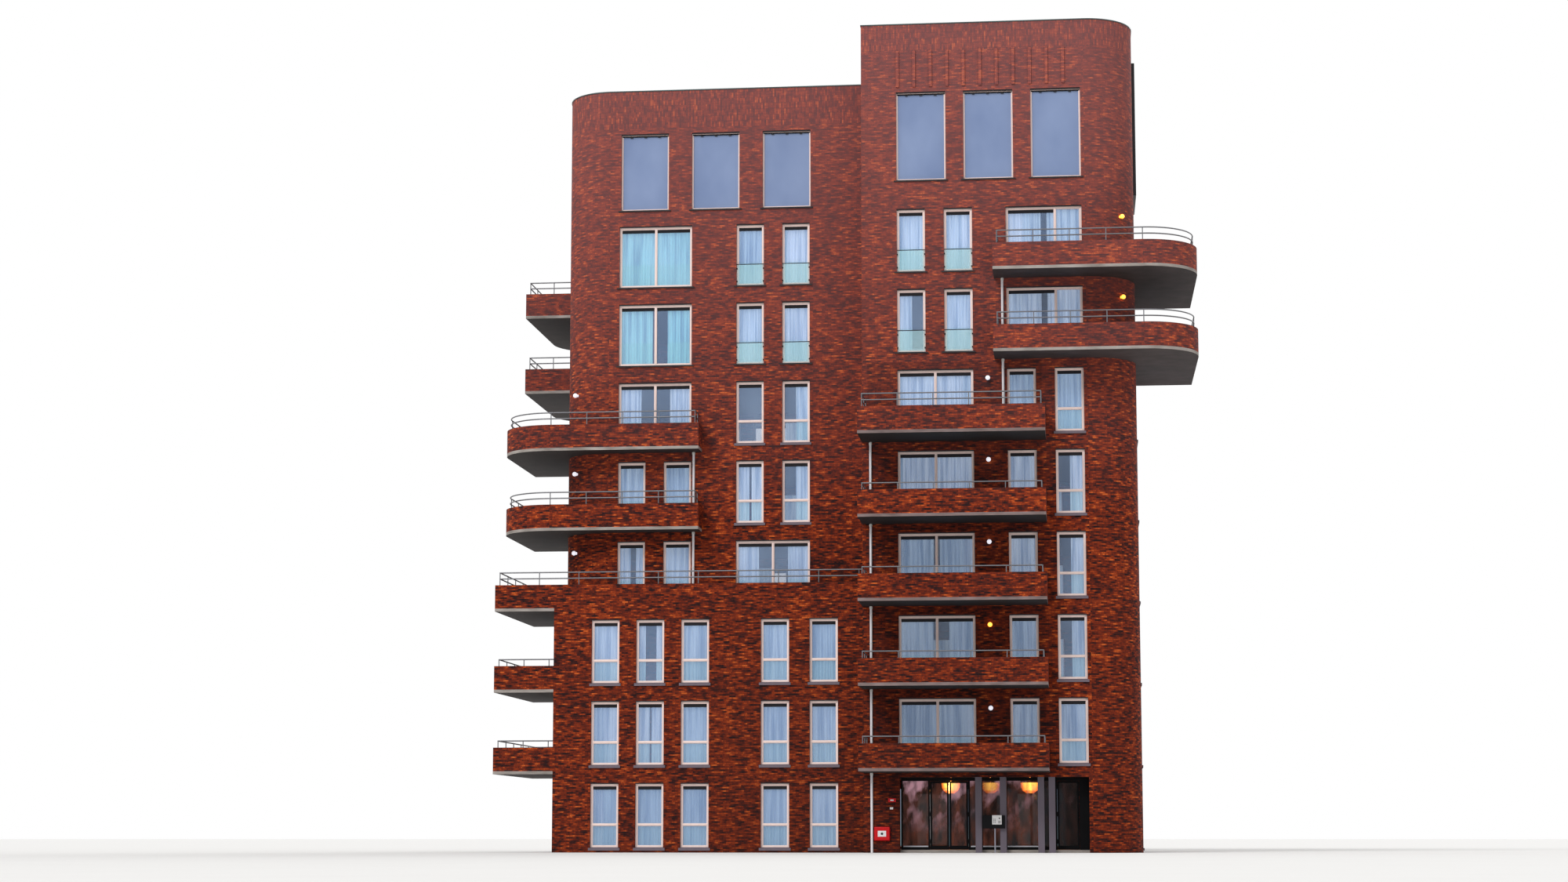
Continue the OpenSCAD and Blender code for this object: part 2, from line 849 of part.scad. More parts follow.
// Entrance bays, measured from the opening's left side; the leaves lie flush with the frame's back
ent_left = tower_bay_a;
ent_w = tower_bay_b + wide_w - tower_bay_a;
double_w = 2 * leaf_w + 2 * leaf_gap + meet_gap;
side_door_x = post_d + entrance_post_w + bar_w;
side_door_w = side_leaf_w + 2 * leaf_gap;
post_xs = [post_a, post_b, post_c, post_d];
door_bays = [[double_door_x, double_door_x + double_w], [side_door_x, side_door_x + side_door_w]];
glass_bays = concat(
    [[bar_w, double_door_x - bar_w], [double_door_x + double_w + bar_w, post_a]],
    [for (i = [0:2]) [post_xs[i] + entrance_post_w, post_xs[i + 1]]]
);
glass_low = floor_up + 2 * bar_w;
glass_high = entrance_head - 2 * bar_w;
leaf_low = floor_up + leaf_gap;
leaf_high = glass_high - leaf_gap;
leaf_y = glazing_back + bar_d - leaf_t;
leaf_inner_y = glazing_back + bar_d;
left_leaf_x = double_door_x + leaf_gap;
right_leaf_x = left_leaf_x + leaf_w + meet_gap;
side_leaf_x = side_door_x + leaf_gap;
knuckle_gap = 2;
hinge_inset = 250;
hinge_y = leaf_inner_y + knuckle_r + knuckle_gap;
hinge_left_x = left_leaf_x - leaf_gap / 2;
hinge_right_x = right_leaf_x + leaf_w + leaf_gap / 2;
hinge_side_x = side_leaf_x - leaf_gap / 2;
hinge_zs = [leaf_low + hinge_inset, (leaf_low + leaf_high) / 2, leaf_high - hinge_inset];
hinge_play = 0.3;
flap = 40;
flap_t = 4;
post_in = 60;

module entrance() translate([ent_left, 0, 0]) children();

module entrance_posts() {
    color("gray")
        entrance()
            for (x = post_xs)
                translate([x, post_in, 0])
                    cube([entrance_post_w, wall_t - 2 * post_in, entrance_head]);
}

module bay_cut(bay, low) {
    translate([bay[0], glazing_back - 1, low])
        cube([bay[1] - bay[0], bar_d + 2, glass_high - low]);
}

// One part of a hinge at its height: a knuckle, and a flap to the side given by dir
module knuckle(x, z, length, dir) {
    translate([x, hinge_y, z]) cylinder(r = knuckle_r, h = length, $fn = 24);
    translate([dir > 0 ? x : x - flap, leaf_inner_y, z]) cube([flap, flap_t, length]);
}

// The fixed knuckles stand below and above the leaf's own
module fixed_knuckles(x, dir) {
    for (z = hinge_zs) {
        knuckle(x, z - knuckle_l / 2, knuckle_l / 2 - hinge_play, dir);
        knuckle(x, z + knuckle_l + hinge_play, knuckle_l / 2, dir);
    }
}

module entrance_frame() {
    color("darkslategray")
        entrance() {
            difference() {
                translate([0, glazing_back, floor_up]) cube([ent_w, bar_d, entrance_head - floor_up]);
                for (bay = glass_bays) bay_cut(bay, glass_low);
                for (bay = door_bays) bay_cut(bay, floor_up - 1);
            }
            fixed_knuckles(hinge_left_x, -1);
            fixed_knuckles(hinge_right_x, 1);
            fixed_knuckles(hinge_side_x, -1);
        }
}

module entrance_glass() {
    color("lightblue", 0.5)
        entrance()
            for (bay = glass_bays)
                translate([bay[0], glazing_back + (bar_d - glass_t) / 2, glass_low])
                    cube([bay[1] - bay[0], glass_t, glass_high - glass_low]);
}

// A leaf from x to x + w; its pull bar stands at handle_x and its hinges at hinge_x
module leaf_frame(x, w, handle_x, hinge_x, dir) {
    color("darkslategray")
        entrance() {
            translate([x, leaf_y, leaf_low])
                difference() {
                    cube([w, leaf_t, leaf_high - leaf_low]);
                    translate([stile_w, -1, 2 * stile_w])
                        cube([w - 2 * stile_w, leaf_t + 2, leaf_high - leaf_low - 3 * stile_w]);
                }
            for (z = [handle_z + handle_out, handle_z + handle_l - handle_out])
                translate([handle_x, leaf_y - handle_out, z])
                    rotate([-90, 0, 0]) cylinder(r = handle_r / 2, h = handle_out, $fn = 16);
            translate([handle_x, leaf_y - handle_out, handle_z])
                cylinder(r = handle_r, h = handle_l, $fn = 16);
            for (z = hinge_zs) knuckle(hinge_x, z, knuckle_l, dir);
        }
}

handle_z = 1100;
handle_l = 500;
handle_out = 60;
handle_r = 15;

module leaf_glass(x, w) {
    color("lightblue", 0.5)
        entrance()
            translate([x + stile_w, leaf_y + (leaf_t - glass_t) / 2, leaf_low + 2 * stile_w])
                cube([w - 2 * stile_w, glass_t, leaf_high - leaf_low - 3 * stile_w]);
}

module left_leaf() leaf_frame(left_leaf_x, leaf_w, left_leaf_x + leaf_w - stile_w / 2, hinge_left_x, 1);
module right_leaf() leaf_frame(right_leaf_x, leaf_w, right_leaf_x + stile_w / 2, hinge_right_x, -1);
module side_door() leaf_frame(side_leaf_x, side_leaf_w, side_leaf_x + side_leaf_w - stile_w / 2, hinge_side_x, 1);
module left_leaf_glass() leaf_glass(left_leaf_x, leaf_w);
module right_leaf_glass() leaf_glass(right_leaf_x, leaf_w);
module side_door_glass() leaf_glass(side_leaf_x, side_leaf_w);

// Bowl lamps on short rods under the first floor, behind the entrance glazing
lamp_rod = 300;
lamp_rod_r = 15;
bowl_h = 380;
bowl_r = 340;
ceiling_lamp_xs = [1690, 3160, 4610];
ceiling_lamp_back = 2400;
ceiling_lamp_y = glazing_back + ceiling_lamp_back;
module ceiling_lamps() {
    ceiling = datum(1) + floor_up - floor_t;
    color("ivory")
        entrance()
            for (x = ceiling_lamp_xs)
                translate([x, ceiling_lamp_y, ceiling - lamp_rod]) {
                    cylinder(r = lamp_rod_r, h = lamp_rod, $fn = 16);
                    translate([0, 0, -bowl_h])
                        rotate_extrude($fn = 48)
                            polygon([[0, 0], [bowl_r * 0.4, 0], [bowl_r * 0.8, bowl_h * 0.25],
                                [bowl_r * 0.95, bowl_h * 0.55], [bowl_r, bowl_h], [0, bowl_h]]);
                }
}

// A call board on a thin stand, held to the second post by two brackets
board_w = 800;
board_h = 470;
board_t = 70;
board_low = 860;
board_over = 180;
board_out = 120;
bracket_w = 40;
stand_r = 25;
module intercom_stand() {
    color("dimgray")
        entrance() {
            translate([post_b + board_over - board_w, -board_out, board_low]) cube([board_w, board_t, board_h]);
            translate([post_b - board_over, board_t / 2 - board_out, 0]) cylinder(r = stand_r, h = board_low + bracket_w, $fn = 24);
            for (z = [board_low + bracket_w, board_low + board_h - 2 * bracket_w])
                translate([post_b + bracket_w, -board_out + board_t - 1, z])
                    cube([bracket_w, board_out - board_t + 1 + post_in, bracket_w]);
        }
}

module place() translate([-box_x, -box_y, 0]) children();

place() tower_piers();
place() tower_spandrels();
place() wing_piers();
place() wing_spandrels();
place() base_piers();
place() base_spandrels();
place() rear_piers();
place() rear_spandrels();
place() round_corners();
place() base_corner();
place() tower_left_wall();
place() tower_floors();
place() wing_floors();
place() tower_roof();
place() wing_roof();
place() roof_trim();
place() front_balcony_slabs();
place() front_balcony_parapets();
place() front_balcony_rails();
place() right_balcony_slabs();
place() right_balcony_parapets();
place() right_balcony_rails();
place() left_balcony_slabs();
place() left_balcony_parapets();
place() left_balcony_rails();
place() side_balcony_slabs();
place() side_balcony_parapets();
place() side_balcony_rails();
place() rear_balcony_slabs();
place() rear_balcony_parapets();
place() rear_balcony_rails();
place() downpipes();
place() wall_lamps();
place() brick_ribs();
place() entrance_posts();
place() entrance_frame();
place() entrance_glass();
place() ceiling_lamps();
place() intercom_stand();
place() left_leaf();
place() left_leaf_glass();
place() right_leaf();
place() right_leaf_glass();
place() side_door();
place() side_door_glass();
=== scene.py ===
"""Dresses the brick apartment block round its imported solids.

Metres, in the block's own frame: the entrance front faces -Y, +X is to the
right as seen from the front, and Z runs up from the ground.
"""

import logging
import math
import random
from dataclasses import dataclass, field, replace
from enum import Enum
from typing import Callable, List, Optional, Sequence, Tuple, Union

import bmesh
import bpy
from mathutils import Matrix, Vector


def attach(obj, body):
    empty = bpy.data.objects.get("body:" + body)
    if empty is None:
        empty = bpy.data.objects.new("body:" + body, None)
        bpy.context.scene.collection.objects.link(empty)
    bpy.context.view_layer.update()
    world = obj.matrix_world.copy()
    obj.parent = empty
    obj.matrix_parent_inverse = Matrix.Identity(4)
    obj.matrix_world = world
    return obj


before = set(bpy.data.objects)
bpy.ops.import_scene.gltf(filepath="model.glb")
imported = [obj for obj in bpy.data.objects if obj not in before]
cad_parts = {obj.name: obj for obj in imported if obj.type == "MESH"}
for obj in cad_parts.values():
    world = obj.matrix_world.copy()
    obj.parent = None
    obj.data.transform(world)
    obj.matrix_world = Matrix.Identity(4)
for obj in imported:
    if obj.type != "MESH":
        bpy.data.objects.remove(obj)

log = logging.getLogger("apartment_block")
BODY = "building"

# A storey's height, the windows' sill and head above its floor, and their widths
STOREY = 3.0
SILL = 0.17
HEAD = 2.53
SINGLE = 1.04
WIDE = 2.77
TALL = 1.82

# Outer faces of the walls
TOWER_FACE = -5.675
WING_FACE = -3.825
BASE_FACE = -4.875
SIDE_FACE = 10.75
REAR_FACE = 6.725

# Where the straight walls end and their round corners begin
BEND_X = 8.95
TOWER_BEND = -3.875
WING_BEND = -2.025
REAR_BEND = 4.925
CORNER_R = 1.8

# Centres of the wrap-round balconies' bends
RIGHT_TURN = (10.98, -5.325)
LEFT_TURN = (-10.98, -2.825)
REAR_TURN = (-10.98, 6.025)
TURN_R = 2.0

# A face lies level where its normal's Z is past this
LEVEL = 0.7

Plan = Tuple[float, float]
Point = Tuple[float, float, float]
Colour = Tuple[float, float, float, float]
Stops = Tuple[Tuple[float, Colour], ...]
Face = Tuple[int, ...]


def tone(red: int, green: int, blue: int) -> Colour:
    """Turns a display colour into the linear colour that a shader takes.

    Args:
        red: Red from 0 to 255.
        green: Green from 0 to 255.
        blue: Blue from 0 to 255.

    Returns:
        The linear colour, with an alpha of 1.
    """
    def linear(part: int) -> float:
        """Returns one part of the colour as a linear number."""
        value = part / 255
        return value / 12.92 if value <= 0.04045 else ((value + 0.055) / 1.055) ** 2.4

    return (linear(red), linear(green), linear(blue), 1.0)


WHITE = tone(255, 255, 255)


class Wire:
    """An output socket of a finish, with operators that add Math nodes."""

    def __init__(self, paint: "Paint", socket: bpy.types.NodeSocket) -> None:
        """Keeps the socket and the finish it belongs to."""
        self.paint = paint
        self.socket = socket

    def math(self, operation: str, *values: "Value") -> "Wire":
        """Adds one Math node.

        Args:
            operation: The node's operation.
            values: Its inputs, in order.

        Returns:
            The node's output.
        """
        return self.paint.node("ShaderNodeMath", {"operation": operation}, dict(enumerate(values)))

    def __add__(self, other: "Value") -> "Wire":
        """Returns the sum."""
        return self.math("ADD", self, other)

    def __radd__(self, other: "Value") -> "Wire":
        """Returns the sum."""
        return self.math("ADD", other, self)

    def __sub__(self, other: "Value") -> "Wire":
        """Returns the difference."""
        return self.math("SUBTRACT", self, other)

    def __rsub__(self, other: "Value") -> "Wire":
        """Returns the difference, the other way round."""
        return self.math("SUBTRACT", other, self)

    def __mul__(self, other: "Value") -> "Wire":
        """Returns the product."""
        return self.math("MULTIPLY", self, other)

    def __rmul__(self, other: "Value") -> "Wire":
        """Returns the product."""
        return self.math("MULTIPLY", other, self)

    def __truediv__(self, other: "Value") -> "Wire":
        """Returns the quotient."""
        return self.math("DIVIDE", self, other)

    def __rtruediv__(self, other: "Value") -> "Wire":
        """Returns the quotient, the other way round."""
        return self.math("DIVIDE", other, self)

    def __mod__(self, other: "Value") -> "Wire":
        """Returns the remainder, never below zero."""
        return self.math("FLOORED_MODULO", self, other)

    def __gt__(self, other: "Value") -> "Wire":
        """Returns 1 where this is greater."""
        return self.math("GREATER_THAN", self, other)

    def __lt__(self, other: "Value") -> "Wire":
        """Returns 1 where this is less."""
        return self.math("LESS_THAN", self, other)

    def __abs__(self) -> "Wire":
        """Returns the size without its sign."""
        return self.math("ABSOLUTE", self)

    def floor(self) -> "Wire":
        """Returns the whole part."""
        return self.math("FLOOR", self)

    def fraction(self) -> "Wire":
        """Returns what is left of the whole part."""
        return self.math("FRACT", self)

    def larger(self, other: "Value") -> "Wire":
        """Returns the larger of the two."""
        return self.math("MAXIMUM", self, other)

    def held(self) -> "Wire":
        """Returns the value held between 0 and 1."""
        return self.math("MINIMUM", self.larger(0.0), 1.0)

    def toward(self, other: "Value", share: "Value") -> "Wire":
        """Returns a number that runs from this to another as share runs from 0 to 1."""
        return self + (other - self) * share

    def within(self, span: Plan) -> "Wire":
        """Returns 1 between the two ends of a span."""
        return (self > span[0]) * (self < span[1])


Value = Union[float, Wire]


class Paint:
    """One material in the making."""

    def __init__(self, name: str) -> None:
        """Starts a material with its usual shader.

        Args:
            name: The material's name.
        """
        self.material = bpy.data.materials.new(name)
        self.material.use_nodes = True
        self.tree = self.material.node_tree
        self.shader = self.tree.nodes["Principled BSDF"]

    def node(self, kind: str, settings: Optional[dict] = None, inputs: Optional[dict] = None,
             output: Union[int, str] = 0) -> Wire:
        """Adds one node.

        Args:
            kind: The node's type.
            settings: Its own settings, with a ramp's stops under "stops".
            inputs: Values or links by socket name or number.
            output: The output to hand back, by name or number.

        Returns:
            That output.
        """
        made = self.tree.nodes.new(kind)
        for name, value in (settings or {}).items():
            if name == "stops":
                self._set_stops(made.color_ramp, value)
            else:
                setattr(made, name, value)
        for key, value in (inputs or {}).items():
            self._feed(made.inputs[key], value)
        return Wire(self, made.outputs[output])

    def _feed(self, socket: bpy.types.NodeSocket, value: object) -> None:
        """Links a wire to a socket, or sets the socket's value.

        Args:
            socket: The input socket.
            value: The wire, or the value.
        """
        if isinstance(value, Wire):
            self.tree.links.new(value.socket, socket)
        else:
            socket.default_value = value

    @staticmethod
    def _set_stops(ramp: bpy.types.ColorRamp, stops: Stops) -> None:
        """Sets a ramp's stops, in order.

        Args:
            ramp: The ramp.
            stops: Each stop's place and colour.
        """
        while len(ramp.elements) < len(stops):
            ramp.elements.new(1.0)
        for element, (place, colour) in zip(ramp.elements, stops):
            element.position = place
            element.color = colour

    def place(self) -> Wire:
        """Returns the point's place in the block's frame."""
        return self.node("ShaderNodeTexCoord", output="Object")

    def facing(self) -> Wire:
        """Returns the direction that the surface faces."""
        return self.node("ShaderNodeNewGeometry", output="Normal")

    def parts(self, vector: Wire) -> Tuple[Wire, Wire, Wire]:
        """Splits a vector.

        Args:
            vector: The vector.

        Returns:
            Its three numbers.
        """
        first = self.node("ShaderNodeSeparateXYZ", inputs={0: vector})
        node = first.socket.node
        return first, Wire(self, node.outputs[1]), Wire(self, node.outputs[2])

    def vector(self, x: Value, y: Value, z: Value) -> Wire:
        """Joins three numbers into a vector."""
        return self.node("ShaderNodeCombineXYZ", inputs={0: x, 1: y, 2: z})

    def scaled(self, vector: Wire, by: Point) -> Wire:
        """Multiplies a vector part by part."""
        return self.node("ShaderNodeVectorMath", {"operation": "MULTIPLY"}, {0: vector, 1: by})

    def noise(self, vector: Wire, scale: float, detail: float = 3.0) -> Wire:
        """Returns a noise from 0 to 1, with most values near a half."""
        return self.node("ShaderNodeTexNoise", inputs={"Vector": vector, "Scale": scale, "Detail": detail})

    def wall_noise(self, run: Wire, z: Wire, per_metre: Plan, detail: float) -> Wire:
        """Returns a noise over a wall, with so many changes a metre along it and up it."""
        return self.noise(self.vector(run * per_metre[0], z * per_metre[1], 0.0), 1.0, detail)

    def chance(self, vector: Wire) -> Wire:
        """Returns an even random number for each whole place."""
        return self.node("ShaderNodeTexWhiteNoise", inputs={"Vector": vector})

    def ramp(self, factor: Wire, stops: Stops) -> Wire:
        """Returns the colour that the stops give for a factor."""
        return self.node("ShaderNodeValToRGB", {"stops": stops}, {0: factor})

    def mix(self, share: Value, first: Union[Wire, Colour], second: Union[Wire, Colour],
            blend: str = "MIX") -> Wire:
        """Mixes two colours.

        Args:
            share: How much of the second shows.
            first: The first colour.
            second: The second colour.
            blend: How the two are blended.

        Returns:
            The mixed colour.
        """
        settings = {"data_type": "RGBA", "blend_type": blend}
        return self.node("ShaderNodeMix", settings, {0: share, 6: first, 7: second}, output=2)

    def bump(self, height: Wire, distance: float, strength: float) -> None:
        """Feeds a bump of a height from 0 to 1 and a depth in metres to the normal."""
        inputs = {"Height": height, "Distance": distance, "Strength": strength}
        self.finish({"Normal": self.node("ShaderNodeBump", inputs=inputs)})

    def finish(self, sockets: dict) -> bpy.types.Material:
        """Sets or feeds the shader's own sockets.

        Args:
            sockets: A value or a wire for each socket's name.

        Returns:
            The material.
        """
        for name, value in sockets.items():
            self._feed(self.shader.inputs[name], value)
        return self.material


@dataclass(frozen=True)
class Arc:
    """A quarter circle of wall in plan, with the signs of the quadrant it bulges into."""

    centre: Plan
    quadrant: Plan
    radius: float


@dataclass(frozen=True)
class Brickwork:
    """Mixed red, brown and purple brick in stretcher bond, with upright courses under the roofs.

    On level faces the bricks run along X, but along Y between the two values of legs.
    The shares say how much the single brick, the run of bricks, the streaks and the
    patches count, and lift moves the whole wall along its stops.
    """

    name: str
    arcs: Tuple[Arc, ...] = ()
    legs: Plan = (90.0, 91.0)
    course: float = 0.0625
    length: float = 0.222
    joint: float = 0.010
    tower_edge: float = 0.74
    upright_tower: float = 29.48
    upright_wing: float = 27.32
    stops: Stops = (
        (0.0, tone(34, 18, 22)),
        (0.22, tone(66, 26, 22)),
        (0.42, tone(106, 36, 20)),
        (0.62, tone(134, 48, 22)),
        (0.82, tone(168, 66, 26)),
        (1.0, tone(206, 96, 40)),
    )
    mortar: Colour = tone(50, 38, 34)
    mortar_share: float = 0.85
    single_share: float = 0.50
    batch_share: float = 1.8
    streak_share: float = 1.0
    patch_share: float = 0.5
    grain_share: float = 0.3
    lift: float = 0.23
    batches: float = 3.3
    batch_step: float = 7.31
    streaks: Plan = (3.6, 14.0)
    patches: Plan = (0.35, 0.8)
    grains: Plan = (40.0, 90.0)
    # Painted light: the upper wall fades towards this pale colour, for the washed-out light high up
    upper_light: Colour = tone(158, 104, 104)
    upper_light_low: float = 12.0
    upper_light_h: float = 18.0
    upper_light_share: float = 0.5
    darker_foot: Colour = tone(44, 20, 14)
    darker_foot_h: float = 13.0
    darker_foot_share: float = 0.30
    darker_foot_near: float = 1.25
    darker_foot_less: float = 0.75
    near_x: float = 2.0
    near_w: float = 8.0
    splash_h: float = 0.25
    splash_share: float = 0.25
    side_shade: float = 0.0
    recess_x: Plan = (0.95, 7.3)
    recess_y: Plan = (-5.69, -4.0)
    recess_top: float = 17.8
    recess_shade: float = 0.25

    def _run(self, x: Wire, y: Wire, east: Wire, north: Wire, up: Wire) -> Wire:
        """Measures along the wall, round its corners too.

        Args:
            x: The point's X.
            y: The point's Y.
            east: The X of the way that the face looks.
            north: The Y of that way.
            up: The Z of that way.

        Returns:
            The distance along the wall.
        """
        sideways = (abs(east) > abs(north)).toward(y.within(self.legs), abs(up) > LEVEL)
        run = x.toward(y, sideways)
        for arc in self.arcs:
            dx = (x - arc.centre[0]) * arc.quadrant[0]
            dy = (y - arc.centre[1]) * arc.quadrant[1]
            inside = (dx > 0.0) * (dy > 0.0)
            run = run.toward(dy.math("ARCTAN2", dy, dx) * arc.radius, inside)
        return run

    def _foot(self, x: Wire, z: Wire) -> Wire:
        """Works out how much darker the walls get towards the ground, most near the entrance.

        Args:
            x: The point's X.
            z: The point's Z.

        Returns:
            How much of the darker colour shows.
        """
        near = self.darker_foot_near - ((abs(x) - self.near_x) / self.near_w).held() * self.darker_foot_less
        darker_foot = (1.0 - z / self.darker_foot_h).held() * self.darker_foot_share * near
        return darker_foot + (1.0 - z / self.splash_h).held() * self.splash_share

    def material(self) -> bpy.types.Material:
        """Makes the brickwork.

        Returns:
            Its material.
        """
        paint = Paint(self.name)
        x, y, z = paint.parts(paint.place())
        east, north, up = paint.parts(paint.facing())
        run = self._run(x, y, east, north, up)
        roof = (x > self.tower_edge) * (self.upright_tower - self.upright_wing) + self.upright_wing
        upright = (z > roof).larger(abs(up) > LEVEL)
        level_run = run.toward(z, upright)
        across = z.toward(run, upright) / self.course
        row = across.floor()
        along = level_run / self.length + (row % 2.0) * 0.5 * (1.0 - upright)

        single = paint.chance(paint.vector(along.floor(), row, upright * 7.0))
        batch = paint.noise(paint.vector(level_run * self.batches, row * self.batch_step, 0.0), 1.0, 2.0)
        streak = paint.wall_noise(run, z, self.streaks, 5.0)
        patch = paint.wall_noise(run, z, self.patches, 2.0)
        grain = paint.wall_noise(run, z, self.grains, 3.0)
        value = single * self.single_share + (batch - 0.5) * self.batch_share
        value = value + (streak - 0.5) * self.streak_share + (patch - 0.5) * self.patch_share + self.lift
        body = paint.ramp(value.held(), self.stops)
        body = paint.mix(self.grain_share, body, paint.vector(grain, grain, grain), "OVERLAY")

        end_joint = along.fraction() < self.joint / self.length
        bed_joint = across.fraction() < self.joint / self.course
        joint = end_joint.larger(bed_joint)
        colour = paint.mix(joint * self.mortar_share, body, self.mortar)
        # Painted light: the wall grows paler and pinker towards the top
        paler = ((z - self.upper_light_low) / self.upper_light_h).held() * self.upper_light_share
        colour = paint.mix(paler, colour, self.upper_light)
        # Darker towards the ground, most near the entrance, and darker still in the lowest quarter metre
        colour = paint.mix(self._foot(x, z), colour, self.darker_foot)
        darkest = self.stops[0][1]
        # Painted shade: the side faces of the ribs are darkened
        colour = paint.mix((abs(east) > abs(north)) * self.side_shade, colour, darkest)
        # Painted shade: the wall under the front balconies is darkened
        recess = x.within(self.recess_x) * (z < self.recess_top) * y.within(self.recess_y)
        colour = paint.mix(recess * self.recess_shade, colour, darkest)
        paint.bump((1.0 - joint) * 0.8 + grain * 0.2, 0.006, 0.7)
        return paint.finish({
            "Base Color": colour,
            "Roughness": grain * 0.15 + 0.78,
            "Specular IOR Level": 0.12,
        })


@dataclass(frozen=True)
class Concrete:
    """Cast concrete with a pale edge, a darker soffit and a worn top; the soffit's colour is its own dark
    paint with painted shade on it.
    """

    name: str
    edge: Colour = tone(168, 160, 154)
    soffit: Colour = tone(66, 56, 56)
    top: Colour = tone(128, 126, 122)
    stained: Colour = tone(190, 188, 186)
    streak: Point = (1.0, 1.0, 4.0)
    stains: float = 1.6
    pores: float = 60.0

    def material(self) -> bpy.types.Material:
        """Makes the concrete.

        Returns:
            Its material.
        """
        paint = Paint(self.name)
        place = paint.place()
        up = paint.parts(paint.facing())[2]
        stain = paint.noise(paint.scaled(place, self.streak), self.stains, 5.0)
        pore = paint.noise(place, self.pores, 3.0)
        colour = paint.mix(up < -0.5, self.edge, self.soffit)
        colour = paint.mix(up > 0.5, colour, self.top)
        shade = paint.ramp(stain, ((0.3, self.stained), (0.7, WHITE)))
        colour = paint.mix(1.0, colour, shade, "MULTIPLY")
        paint.bump(pore * 0.4 + stain * 0.6, 0.003, 0.5)
        return paint.finish({"Base Color": colour, "Roughness": pore * 0.2 + 0.7})


@dataclass(frozen=True)
class Gravel:
    """Dark roofing gravel."""

    name: str
    dark: Colour = tone(52, 52, 54)
    light: Colour = tone(112, 110, 106)
    stones: float = 32.0
    patches: float = 0.6

    def material(self) -> bpy.types.Material:
        """Makes the gravel.

        Returns:
            Its material.
        """
        paint = Paint(self.name)
        place = paint.place()
        stone = paint.node("ShaderNodeTexVoronoi", inputs={"Vector": place, "Scale": self.stones})
        patch = paint.noise(place, self.patches, 4.0)
        colour = paint.ramp(stone * 0.9 + patch * 0.4, ((0.1, self.light), (0.8, self.dark)))
        paint.bump(1.0 - stone, 0.012, 0.8)
        return paint.finish({"Base Color": colour, "Roughness": 0.92})


@dataclass(frozen=True)
class Coat:
    """A painted, moulded or metal surface with faint dirt and brushed unevenness.

    Where a stem colour is given, it covers what is lower than stem_h.
    """

    name: str
    colour: Colour
    roughness: float = 0.45
    metallic: float = 0.0
    dirt: float = 0.15
    grain: Point = (6.0, 6.0, 1.5)
    bump: float = 0.0006
    gloss: float = 0.5
    stem: Optional[Colour] = None
    stem_h: float = 0.86
    dirt_shade: float = 0.55

    def material(self) -> bpy.types.Material:
        """Makes the coat.

        Returns:
            Its material.
        """
        paint = Paint(self.name)
        place = paint.place()
        grain = paint.scaled(place, self.grain)
        film = paint.noise(grain, 1.0, 4.0)
        fine = paint.noise(grain, 22.0, 2.0)
        dirty = tuple(part * self.dirt_shade for part in self.colour[:3]) + (1.0,)
        share = ((film - 0.42) * 3.0).held() * self.dirt
        colour = paint.mix(share, self.colour, dirty)
        if self.stem:
            colour = paint.mix(paint.parts(place)[2] < self.stem_h, colour, self.stem)
        paint.bump(fine, self.bump, 0.4)
        return paint.finish({
            "Base Color": colour,
            "Roughness": (fine - 0.5) * 0.2 + self.roughness,
            "Metallic": self.metallic,
            "Specular IOR Level": self.gloss,
        })


@dataclass(frozen=True)
class Pane:
    """Window glass in a cool colour with slight unevenness; on the tall windows the colour is a painted sky
    reflection.
    """

    name: str
    colour: Colour
    other: Colour
    cover: float
    roughness: float = 0.04
    clouds: Point = (0.5, 0.5, 0.35)
    waves: float = 1.1

    def material(self) -> bpy.types.Material:
        """Makes the glass.

        Returns:
            Its material.
        """
        paint = Paint(self.name)
        place = paint.place()
        cloud = paint.noise(paint.scaled(place, self.clouds), 1.0, 3.0)
        wave = paint.noise(place, self.waves, 1.0)
        colour = paint.ramp(cloud, ((0.3, self.colour), (0.7, self.other)))
        paint.bump(wave, 0.002, 0.25)
        paint.material.surface_render_method = "BLENDED"
        return paint.finish({
            "Base Color": colour,
            "Roughness": self.roughness,
            "Alpha": (cloud - 0.5) * 0.2 + self.cover,
            "Coat Weight": 0.6,
        })


@dataclass(frozen=True)
class Streaked:
    """Dark entrance glass with a painted reflection of a square: upright brown and mauve streaks.

    The mauve fades out towards the right and the ground, and right of near_black_x the
    painted reflection is nearly black; its faint glow is painted light for the reflection.
    """

    name: str
    dark: Colour = tone(24, 12, 9)
    brown: Colour = tone(98, 52, 38)
    mauve: Colour = tone(210, 164, 178)
    mauve_x: float = 1.5
    mauve_w: float = 7.0
    mauve_z: float = 0.7
    mauve_h: float = 1.4
    mauve_share: float = 0.95
    near_black: Colour = tone(13, 14, 15)
    near_black_x: float = 7.1
    near_black_share: float = 0.8
    cover: float = 0.82
    reflection_glow: float = 0.32
    streaks: Point = (4.5, 1.0, 1.7)
    waves: float = 0.9

    def material(self) -> bpy.types.Material:
        """Makes the glass.

        Returns:
            Its material.
        """
        paint = Paint(self.name)
        place = paint.place()
        x, _, z = paint.parts(place)
        streak = paint.noise(paint.scaled(place, self.streaks), 1.0, 6.0)
        broad = paint.noise(paint.vector(x * 1.3 - z * 0.8, z * 0.9, 3.0), 1.0, 2.0)
        colour = paint.ramp(streak, ((0.36, self.dark), (0.66, self.brown)))
        left = (1.15 - (x - self.mauve_x) / self.mauve_w).held()
        high = ((z - self.mauve_z) / self.mauve_h).held()
        share = ((broad - 0.49) * 6.0 + (streak - 0.5) * 3.0).held() * left * high
        # Painted reflection: brown and mauve streaks, and a glow of the same colour
        colour = paint.mix(share * self.mauve_share, colour, self.mauve)
        colour = paint.mix((x > self.near_black_x) * self.near_black_share, colour, self.near_black)
        paint.bump(paint.noise(place, self.waves, 1.0), 0.002, 0.2)
        paint.material.surface_render_method = "BLENDED"
        return paint.finish({
            "Base Color": colour,
            "Roughness": 0.05,
            "Specular IOR Level": 0.10,
            "Emission Color": colour,
            "Emission Strength": self.reflection_glow,
            "Alpha": (streak - 0.5) * 0.3 + self.cover,
        })


